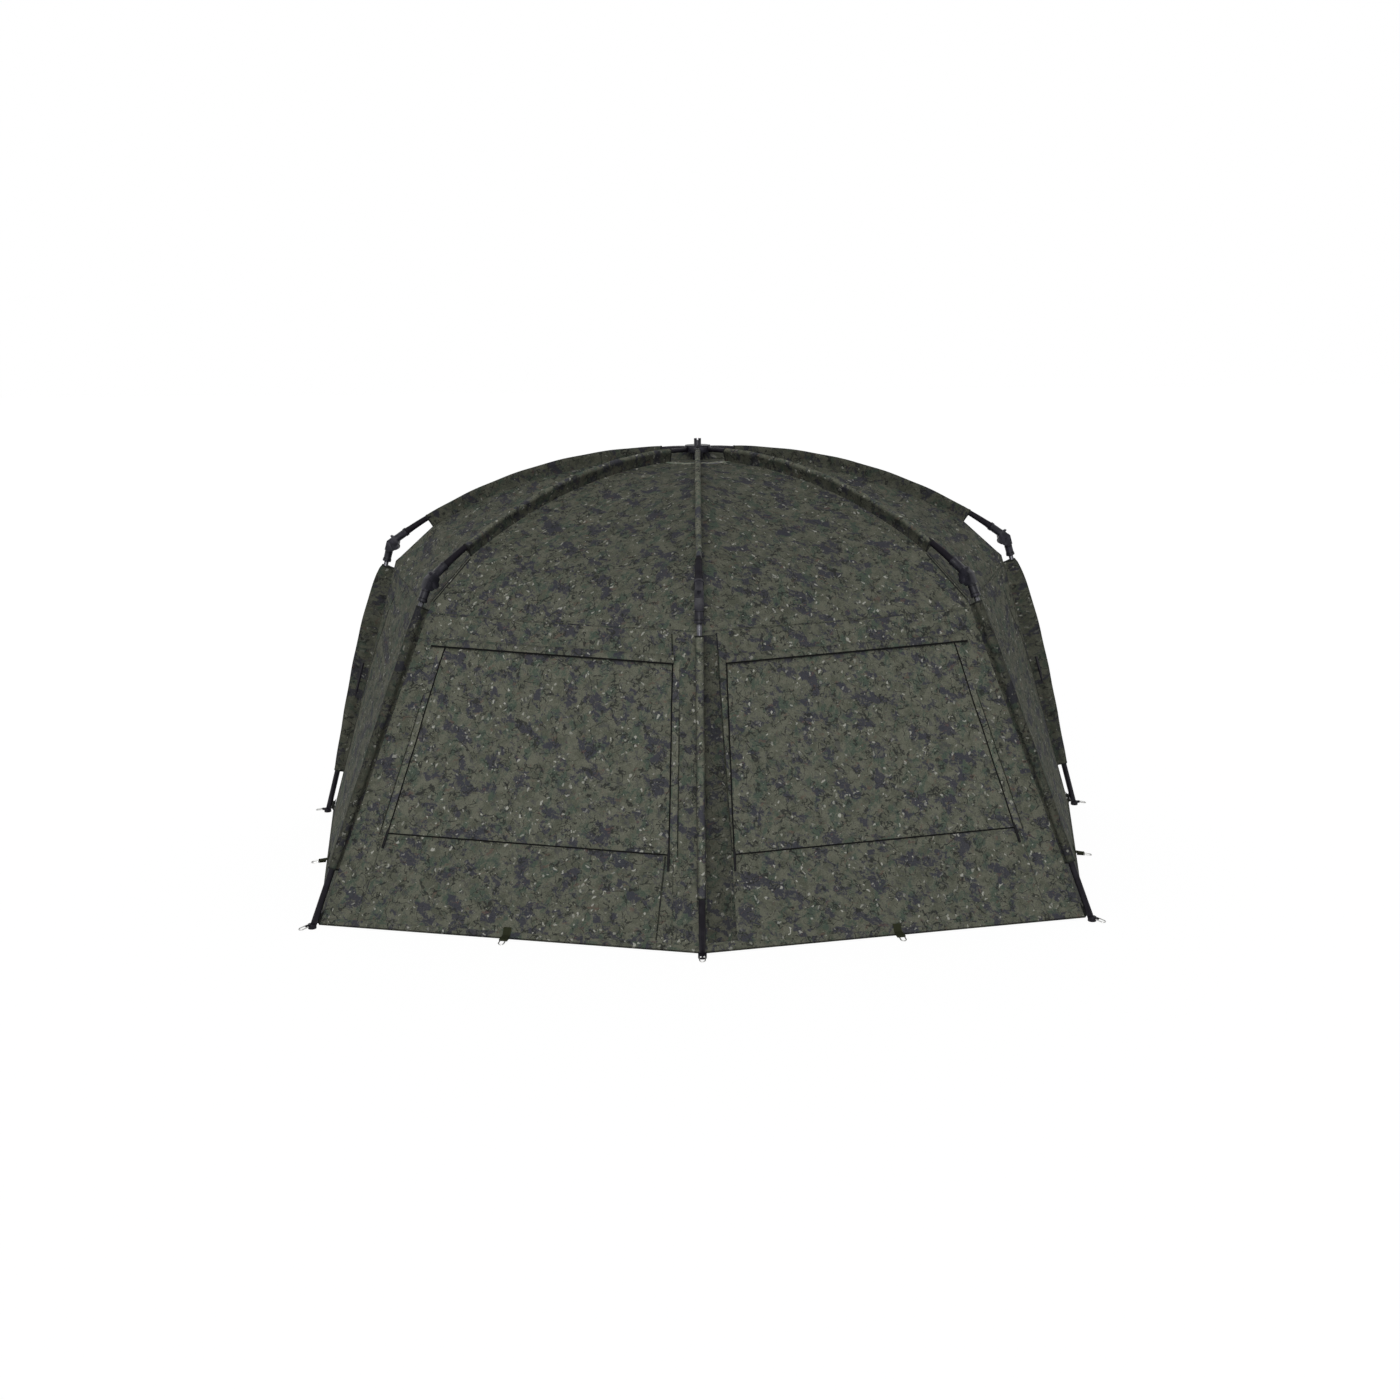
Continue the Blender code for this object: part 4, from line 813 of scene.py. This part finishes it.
def sleeveShape(rib, lineAt, near, far, radius, depthAt, grow=0.0, seed=0, loose=0.0):
    # the sleeve's cut round the pole: two sides that meet in a fin at the seam; loose lets it stand out in the middle
    angles = np.radians(np.linspace(-118, 118, 17))
    ring = np.stack([np.sin(angles), np.cos(angles)], -1)

    def shape(a, b):
        distances = far + (near - far) * b
        centres, ways = lineAt(rib, distances)
        depth = depthAt(distances)
        wide = radius + grow
        along = (distances - near) / (far - near)
        baggy = loose * np.sin(np.pi * np.clip(along, 0, 1) ** 0.62)
        across = np.empty_like(a)
        up = np.empty_like(a)
        for index in range(len(a)):
            fin = depth[index]
            half = np.vstack([[-0.0009 - grow, -fin], [-0.0022 - grow, -fin * 0.62 - 0.002],
                              ring * wide, [0.0022 + grow, -fin * 0.62 - 0.002], [0.0009 + grow, -fin]])
            lengths = np.concatenate([[0.0], np.cumsum(np.linalg.norm(np.diff(half, axis=0), axis=1))])
            across[index] = np.interp(a[index] * lengths[-1], lengths, half[:, 0])
            up[index] = np.interp(a[index] * lengths[-1], lengths, half[:, 1])
        sides = np.sin(np.pi * np.clip(a, 0, 1)) * np.sin(2 * np.pi * a) ** 2
        crown = np.sin(np.pi * np.clip(a, 0, 1)) ** 2
        pull = np.sin(distances * 61.0 + seed) * 0.5 + np.sin(distances * 23.0 + 2 * seed)
        across = across + 0.0010 * pull * sides
        up = up + crown * (0.0007 * np.sin(distances * 37.0 + seed) + baggy)
        points = place(rib["turn"], centres + ways * up[:, None], across)
        threads = np.stack([a * ribPiece["sleeveCut"] + seed, distances + 2.37 * seed], -1)
        return points, threads

    return shape


def sleevePiece(rib, part, lineAt, near, far, radius, depthAt, seed, material, loose=0.0):
    body = rib["name"] + "_" + part
    shape = sleeveShape(rib, lineAt, near, far, radius, depthAt, 0.0, seed, loose)
    piece = clothGrid(body + "_cloth_sleeve", 30, 60, shape, ribPiece["sleeveThickness"])
    finishPiece(piece, body, material, [body + "_sleeve"])
    keepSheet(piece, far - near)
    band = ribPiece["sleeveBand"]
    for end, first, second in (("start", near, near + band), ("end", far - band, far)):
        shape = sleeveShape(rib, lineAt, first, second, radius, depthAt, 0.0009, seed)
        trim = clothGrid(piece.name + "_" + end + "_band", 30, 4, shape, 0.0010)
        finishPiece(trim, body, blackTape)
        trims[piece.name].append(trim)


def dRing(name, centre, out):
    # a wire ring: a straight bar, two arms and a round bow, hung outwards and a little down
    half, straight = 0.0082, 0.018
    drop = math.radians(9.0)
    side = np.cross(upWay, out)
    flat = [(0.0, -half), (0.0, 0.0), (0.0, half)]
    flat += [(straight * step, half) for step in (0.25, 0.5, 0.75)]
    flat += [(straight + half * math.cos(turn), half * math.sin(turn))
             for turn in np.linspace(math.pi / 2, -math.pi / 2, 17)]
    flat += [(straight * step, -half) for step in (0.75, 0.5, 0.25)]
    points = [centre + out * (x * math.cos(drop)) - upWay * (x * math.sin(drop)) + side * y for x, y in flat]
    return roundBar(name, points, 0.0018, closed=True, sides=3)


def ribBar(name, rib, lineAt, distances, radius, radii=None, sides=6):
    flat, _ = lineAt(rib, distances)
    return roundBar(name, place(rib["turn"], flat), radius, radii, sides=sides)


def flatEye(node, name, points):
    # the flat eye of a CAD pole, cut off at the first of two points of the pole's line
    eye = nodeCopy(node, name, 0.0004, 50.0)
    return cutCopy(eye, points[0], points[1] - points[0])


for index, (name, rib) in enumerate(ribs.items()):
    turn = rib["turn"]
    length, legLength = rib["length"], rib["legLength"]
    out = place(turn, (1.0, 0.0)) - place(turn, (0.0, 0.0))
    # upper pole with its flat eye
    eye = flatEye(name + "_upper_pole", name + "_eye", place(turn, poleAt(rib, ribPiece["eyeCut"])[0]))
    (first, second), steps = ribPiece["poleStart"], ribPiece["poleSteps"]
    distances = np.concatenate([[first], np.linspace(second, length - ribPiece["poleEnd"], steps)])
    bar = ribBar(name + "_bar", rib, poleAt, distances, tent["poleRadius"], [0.80] + [1.0] * steps, 5)
    pole = joinPieces(name + "_upper_rod", [bar, eye])
    finishPiece(pole, name + "_upper", powderBlack, [name + "_upper_pole"])
    # tapered rubber boot between the sleeve and the knuckle
    reach = np.linspace(ribPiece["bootStart"], ribPiece["bootEnd"], 24)
    share = (reach - reach[0]) / (reach[-1] - reach[0])
    radii = ribPiece["bootWide"] + (ribPiece["bootThin"] - ribPiece["bootWide"]) * share ** 0.8
    radii = radii + ribPiece["bootLip"] * (share < 0.10) - ribPiece["bootLip"] * (share > 0.97)
    boot = ribBar(name + "_boot", rib, poleAt, length - reach, tent["poleRadius"], radii)
    finishPiece(boot, name + "_upper", rubberBlack)
    # knuckle, with dark rings on its lower socket
    for half in ("upper", "lower"):
        node = name + "_knuckle_" + half
        knuckle = nodeCopy(node, name + "_joint_" + half, 0.0007, 30.0)
        finishPiece(knuckle, name + "_" + half, mouldedBlack, [node])
    rings = [ribBar(name + "_socket_ring", rib, legAt, [spot, spot + ribPiece["socketRingWidth"]],
                    ribPiece["socketRingRadius"]) for spot in ribPiece["socketRings"]]
    finishPiece(joinPieces(name + "_socket_rings", rings), name + "_lower", zipBlack)
    # grey tube and black leg
    top = legLength - ribPiece["legTube"]
    distances = [*ribPiece["tubeStart"], *(top + end for end in ribPiece["tubeEnd"])]
    tube = ribBar(name + "_grey_tube", rib, legAt, distances, tent["poleRadius"], [0.9, 1.0, 1.0, 0.9])
    finishPiece(tube, name + "_lower", greyTube, [name + "_lower_pole"])
    distances = [top + 0.0002, top + 0.0012, legLength - 0.010, legLength - 0.008]
    leg = ribBar(name + "_leg_bar", rib, legAt, distances, tent["legRadius"], [0.92, 1.0, 1.0, 0.8])
    foot = nodeCopy(name + "_leg_tube", name + "_foot_part", 0.0007, 50.0)
    cutCopy(foot, upWay * ribPiece["footHeight"], upWay)
    leg = joinPieces(name + "_leg", [leg, foot])
    finishPiece(leg, name + "_leg", powderBlack, [name + "_leg_tube"])
    centre = place(turn, (rib["foot"][0] + tent["ringOut"], tent["ringUp"]))
    ring = dRing(name + "_wire_ring", centre, out)
    finishPiece(ring, name + "_peg_ring", wireSteel, [name + "_peg_ring"])
    # sleeves, whose cloth carries painted light and shade: the side ribs' upper sleeves and the corner and side ribs'
    # lower sleeves take the cloth painted dark as if in shade
    isSide, isCentre = name.startswith("side"), name == "rear_centre"
    sleevePiece(rib, "upper", poleAt, ribPiece["upperSleeveStart"], length - ribPiece["upperSleeveEnd"],
                ribPiece["sleeveRadius"], lambda d: np.full(len(d), tent["underPole"] + ribPiece["seamPast"]),
                index, centreSleeve if isCentre else shadedSleeve if isSide else sleeveCloth)
    hemDepth = float((rib["knee"] - rib["hem"]) @ rib["out"])
    slope = (hemDepth - tent["insideLeg"]) / (legLength - tent["wallStart"])
    sleeveStart = ribPiece["centreSleeveStart" if isCentre else "lowerSleeveStart"]
    bare = ribPiece["bareLeg" if isSide or isCentre else "cornerBareLeg"]
    sleevePiece(rib, "lower", legAt, sleeveStart, legLength - bare, ribPiece["lowerSleeveRadius"],
                lambda d, slope=slope: tent["insideLeg"] + slope * (d - tent["wallStart"]) + ribPiece["seamPast"],
                5 + index, sleeveCloth if isCentre else shadedSleeve,
                ribPiece["sideLoose" if isSide else "cornerLoose"])
print("ribs made")


# Webbing that ties the hem's corner to each foot, in the rib's own plane
tie = {"height": 0.046, "legHeight": 0.034, "footUp": 0.0150, "thickness": 0.0018, "clear": 0.0102,
       "edgeOut": 0.0012, "sink": 0.004}
for name, rib in ribs.items():
    slope = unit(rib["hem"] - rib["wallTop"])
    legFoot = rib["foot"] - rib["down"] * tie["footUp"] - rib["out"] * tie["clear"]

    def shape(a, b, rib=rib, slope=slope, legFoot=legFoot):
        # a from the cloth's edge to the leg, b from below up
        edge = rib["hem"] - np.outer(b * tie["height"] * 1.05, slope) + tie["edgeOut"] * rib["out"]
        leg = legFoot - np.outer(b * tie["legHeight"], rib["down"])
        flat = edge + (leg - edge) * a[:, None]
        flat[:, 1] -= tie["sink"] * np.sin(np.pi * a) * (2.0 * b - 1.0)
        threads = np.stack([a * 0.03, b * 0.05], -1)
        return place(rib["turn"], flat, 0.0009 * np.sin(9.0 * b + 4.0 * a)), threads

    piece = clothGrid(name + "_foot_tie", 8, 10, shape, tie["thickness"])
    finishPiece(piece, name + "_leg", blackTape)
    trims[name + "_lower_cloth_sleeve"].append(piece)
print("foot ties made")


# Hub
for node, name in (("hub_body", "hub_disc"), ("hub_cap", "hub_top")):
    piece = nodeCopy(node, name, 0.0008, 30.0)
    finishPiece(piece, "hub_and_canopy", mouldedBlack, [node])
print("hub made")


# Front: two short ribs and the cloth that hangs from them
front = {
    "turn": 148.0, "drop": 0.009, "hollow": 0.09, "sag": 0.010, "pattern": (21.0, 2.0), "print": (0.7, 0.9),
    "collar": 0.04, "collarRadius": 0.0196,     # where the cloth closes round the hub's stem
    "binding": 0.016, "bindingLift": 0.0012, "bindingThickness": 0.0030, "columns": 60, "rows": 40,
    "poleEnd": (0.0135, 0.0125), "poleSteps": 40,
}
frontLength = arcLength(tent["pivot"], tent["frontTip"], tent["frontBow"])


def frontPole(distances):
    return arcPoints(tent["pivot"], tent["frontTip"], tent["frontBow"], np.asarray(distances) / frontLength)[0]


def frontEdge(turn, run):
    distances = tent["roofStart"] + (frontLength - tent["roofStart"]) * run
    return place(turn, frontPole(distances) - np.array([0.0, front["drop"]]))


def sideEdge(side, run):
    rib = ribs["side_right" if side > 0 else "side_left"]
    first = rib["roofShares"][1]
    return place(rib["turn"], roofLineAt(rib, first + (1.0 - first) * run), side * tent["seamGap"])


def frontPart(share):
    return np.where(share > 1.0, np.clip(share - 1.0, 0.0, 1.0) / 2, np.clip(share, 0.0, 1.0))


def frontTaut(side, share, run):
    # share 0 to 1 from the side rib to the front rib, 1 to 2 on to the middle of the tent; run 0 to 1
    turn = math.radians(front["turn"]) * side
    rib, near, far = sideEdge(side, run), frontEdge(turn, run), frontEdge(-turn, run)
    beyond, part = (share > 1.0)[..., None], frontPart(share)[..., None]
    return np.where(beyond, near + (far - near) * part, rib + (near - rib) * part)


def frontCloth(side, share, run):
    # the same, with its lower edge drawn in between the ribs
    part = frontPart(share)
    hollow = 4 * part * (1 - part) * front["hollow"] * run * run
    points = frontTaut(side, share, run)
    return points + (frontTaut(side, share, np.zeros_like(run)) - points) * hollow[..., None]


def frontHalf(side):
    word = "right" if side > 0 else "left"
    carrier = "front_" + word + "_rib"
    turn = math.radians(front["turn"]) * side
    collar = front["collar"]

    def shape(a, b):
        share = 2.0 * (a if side > 0 else 1.0 - a)
        run = 1.0 - b
        points = frontCloth(side, share, np.clip(run * (1.0 + collar) - collar, 0, 1))
        towards = np.clip(1.0 - run * (1.0 + collar) / collar, 0, 1)
        centre = np.array([0.0, tent["hubY"]])
        flat = points[:, :2] - centre
        size = np.maximum(np.linalg.norm(flat, axis=1), 1e-6)
        stem = centre + flat / size[:, None] * front["collarRadius"]
        points[:, :2] += (stem - points[:, :2]) * towards[:, None]
        points[:, 2] -= front["sag"] * np.sin(np.pi * frontPart(share)) * np.sin(np.pi * run)
        threads = np.stack([(share - 1.0) * front["print"][0] * run + front["pattern"][0] + 3 * side,
                            run * front["print"][1] + front["pattern"][1]], -1)
        return points, threads

    piece = clothGrid("front_" + word + "_brow", front["columns"], front["rows"], shape, canopy["thickness"])
    spots = np.array([vertex.co for vertex in piece.data.vertices])
    gather = gatherRecord(carrier, "front_" + word + "_fold", spots,
                          place(turn, tent["pivot"]), place(turn, tent["frontTip"]))
    finishPiece(piece, carrier, canopyCloth, ["front_panel"], gather)
    keepSheet(piece, frontLength - tent["stem"])

    def edge(a, b):
        share = 2.0 * (b if side > 0 else 1.0 - b)
        points = frontCloth(side, share, 1.0 - front["binding"] * (1.0 - a))
        points[:, 2] += front["bindingLift"]
        return points, np.stack([a * 0.012, b * 1.2], -1)

    binding = clothGrid("front_" + word + "_binding", 4, front["columns"], edge, front["bindingThickness"])
    finishPiece(binding, carrier, blackTape, (), gather)
    trims[piece.name].append(binding)

    # the short pole
    eye = flatEye(carrier, carrier + "_eye", place(turn, frontPole(ribPiece["eyeCut"])))
    (first, second), (third, last), steps = ribPiece["poleStart"], front["poleEnd"], front["poleSteps"]
    distances = np.concatenate([[first], np.linspace(second, frontLength - third, steps), [frontLength - last]])
    bar = roundBar(carrier + "_bar", place(turn, frontPole(distances)), tent["poleRadius"],
                   [0.8] + [1.0] * steps + [0.85], sides=5)
    pole = joinPieces("front_" + word + "_rod", [bar, eye])
    finishPiece(pole, carrier, powderBlack, [carrier])


for side in (1, -1):
    frontHalf(side)
print("front made")


# Webbing tabs on the hems, with their rings
tab = {"width": 0.024, "length": 0.026, "height": 0.036, "thickness": 0.0014, "lift": 0.0030, "bendUp": 0.012,
       "loop": 0.0034, "backOut": 0.0035, "backUp": 0.0078}
for bayName, bay in bays.items():
    first, second = (edge[0] for edge in bayEdges(bay, np.array([bay["length"]])))
    along = unit(second - first)
    out = unit([along[1], -along[0], 0.0])
    ground = (first + second) / 2
    high = clothSpot(bay, 0.5, bay["length"] - tab["height"], tab["lift"])
    bend = clothSpot(bay, 0.5, bay["length"] - tab["bendUp"], tab["lift"])
    centre = ground + out * tab["length"]
    centre[2] = tent["ringUp"]
    loop = [centre + tab["loop"] * (out * math.cos(turn) + upWay * math.sin(turn))
            for turn in np.radians(np.linspace(120, -120, 9))]
    back = ground + out * tab["backOut"]
    back[2] = tab["backUp"]
    line = np.array([high, bend] + loop + [back])
    steps = np.linalg.norm(np.diff(line, axis=0), axis=1)
    marks = np.concatenate([[0.0], np.cumsum(steps)]) / steps.sum()

    def shape(a, b, line=line, marks=marks, along=along, total=steps.sum()):
        points = np.stack([np.interp(1.0 - b, marks, line[:, column]) for column in range(3)], -1)
        return points + np.outer((a - 0.5) * tab["width"], along), np.stack([a * tab["width"], b * total], -1)

    piece = clothGrid(bayName + "_hem_tab", 4, 40, shape, tab["thickness"])
    finishPiece(piece, bay["wallGather"]["body"], oliveTape, (), bay["wallGather"])
    trims[bayName + "_wall"].append(piece)
    ring = dRing(bayName + "_wire_ring_hem", centre, out)
    finishPiece(ring, bayName + "_hem_ring", wireSteel, [bayName + "_hem_ring"], bay["wallGather"])
print("hem tabs made")


# Zip sliders with their pulls
slider = {"width": 0.0060, "thickness": 0.0045, "length": 0.016, "out": 0.00495, "bevel": 0.0012,
          "pullWidth": 0.0070, "pullThickness": 0.0036, "pullLength": 0.056, "pullDown": 0.020, "pullOut": 0.00655,
          "pullBevel": 0.0008}


def roundedBlock(name, centre, sides, ways, bevel):
    bpy.ops.mesh.primitive_cube_add(size=1.0)
    piece = rename(bpy.context.object, name)
    spots = np.array([vertex.co for vertex in piece.data.vertices])
    spots = centre + (spots * sides) @ np.array(ways)
    piece.data.vertices.foreach_set("co", spots.ravel())
    piece.data.update()
    applyModifier(piece, "BEVEL", width=bevel, segments=3)
    editMesh(piece, bpy.ops.mesh.normals_make_consistent, inside=False)
    smooth(piece)
    return piece


for bayName, mirrored in windowBays:
    bay = bays[bayName]
    bottom = wallRun(bay, window["bottom"])
    for word in ("inner", "outer"):
        share = 1.0 - window[word] if mirrored else window[word]
        low = clothSpot(bay, share, bottom)
        up = unit(clothSpot(bay, share, bottom - 0.10) - low)
        across = unit(np.cross(up, clothWay(bay, np.array([share]), np.array([bottom]))[0]))
        way = np.cross(across, up)
        name = bayName + "_" + word
        body = roundedBlock(name + "_slider_body", low + way * slider["out"] + up * slider["length"] / 2,
                            (slider["width"], slider["thickness"], slider["length"]), (across, way, up),
                            slider["bevel"])
        pull = roundedBlock(name + "_slider_pull", low + way * slider["pullOut"] - up * slider["pullDown"],
                            (slider["pullWidth"], slider["pullThickness"], slider["pullLength"]), (across, way, up),
                            slider["pullBevel"])
        piece = joinPieces(name + "_zip_pull", [body, pull])
        finishPiece(piece, name + "_zip_slider", zipBlack, [name + "_zip_slider"], bay["wallGather"])
print("zip sliders made")


# Patches of lighter cloth on the roof, under the hub, made lighter still as painted light against the hub's shade
for bayName, _ in windowBays:
    bayStrip(bayName, "hub_patch", [(0.02, 0.115), (0.98, 0.115)], "hubPatch", patchCloth, "roof", columns=6, rows=20)
print("hub patches made")


# Bindings where the canopy's edge lies open beside each knuckle
for bayName, bay in bays.items():
    openAt = bay["roofLength"] * (1.0 - 0.19 / ribs[bay["first"]]["roofLength"])
    for word, share in (("first", 0.0075), ("second", 0.9925)):
        bayStrip(bayName, word + "_edge_tape", [(share, bay["roofLength"]), (share, openAt)], "edgeTape", blackTape,
                 "roof", columns=3, rows=20)
print("edge tapes made")


# each sheet's flat area, and its length down its bay or along its pole, read back


for name, piece in sheets.items():
    area, length = float(piece["flatArea"]), float(piece["flatLength"])


# Floor, lights and background
studio = {
    "floorSize": 60.0, "floorDown": 0.0005, "floor": 0.80, "floorWhite": 0.86, "floorGlow": 1.09,
    "horizon": 0.47, "overhead": 0.27, "sun": 1.95, "sunSpread": 40.0, "sunWay": (0.08, 0.90, -0.42),
}
bpy.ops.mesh.primitive_plane_add(size=studio["floorSize"], location=(0.0, 0.0, -studio["floorDown"]))
floor = rename(bpy.context.object, "studioFloor")
floorMaterial, tree, floorShader = startMaterial("paleFloor", Roughness=0.9)
tone = noise(tree, newNode(tree, "ShaderNodeTexCoord").outputs["Object"], 1.5, 2.0)
floorColour = paintOver(tree, (studio["floor"],) * 3, (studio["floor"] + 0.01,) * 3, tone)
tree.links.new(floorColour, floorShader.inputs["Base Color"])


def seenDirectly(tree):
    path = newNode(tree, "ShaderNodeLightPath")
    seen = reckon(tree, path.outputs["Is Camera Ray"], path.outputs["Is Glossy Ray"], "MAXIMUM")
    return reckon(tree, seen, path.outputs["Is Transmission Ray"], "MAXIMUM")


glow = newNode(tree, "ShaderNodeEmission", {"Color": (1.0, 1.0, 1.0, 1.0), "Strength": studio["floorGlow"]})
share = reckon(tree, seenDirectly(tree), studio["floorWhite"])
mixed = newNode(tree, "ShaderNodeMixShader", {"Fac": share, 1: floorShader.outputs[0], 2: glow.outputs[0]})
tree.links.new(mixed.outputs[0], tree.nodes["Material Output"].inputs["Surface"])
floor.data.materials.append(floorMaterial)

world = bpy.data.worlds.new("studioWorld")
bpy.context.scene.world = world
world.use_nodes = True
tree = world.node_tree
tree.nodes.clear()
direction = newNode(tree, "ShaderNodeTexCoord").outputs["Generated"]
height = newNode(tree, "ShaderNodeSeparateXYZ", {"Vector": direction}).outputs["Z"]
level = newNode(tree, "ShaderNodeMapRange", {"Value": height, "From Min": 0.0, "From Max": 0.9,
                                            "To Min": studio["horizon"], "To Max": studio["overhead"]})
fill = newNode(tree, "ShaderNodeBackground", {"Color": (0.97, 0.98, 1.0, 1.0),
                                              "Strength": level.outputs["Result"]})
white = newNode(tree, "ShaderNodeBackground", {"Color": (1.0, 1.0, 1.0, 1.0), "Strength": 1.0})
both = newNode(tree, "ShaderNodeMixShader", {"Fac": seenDirectly(tree), 1: fill.outputs[0], 2: white.outputs[0]})
newNode(tree, "ShaderNodeOutputWorld", {"Surface": both.outputs[0]})

bpy.ops.object.light_add(type="SUN", location=(-2.5, -4.0, 4.0))
sun = bpy.context.object
sun.name = "softSun"
sun.data.energy = studio["sun"]
sun.data.angle = math.radians(studio["sunSpread"])
sun.rotation_euler = Vector(studio["sunWay"]).to_track_quat("-Z", "Y").to_euler()
bpy.context.scene.view_settings.view_transform = "Standard"
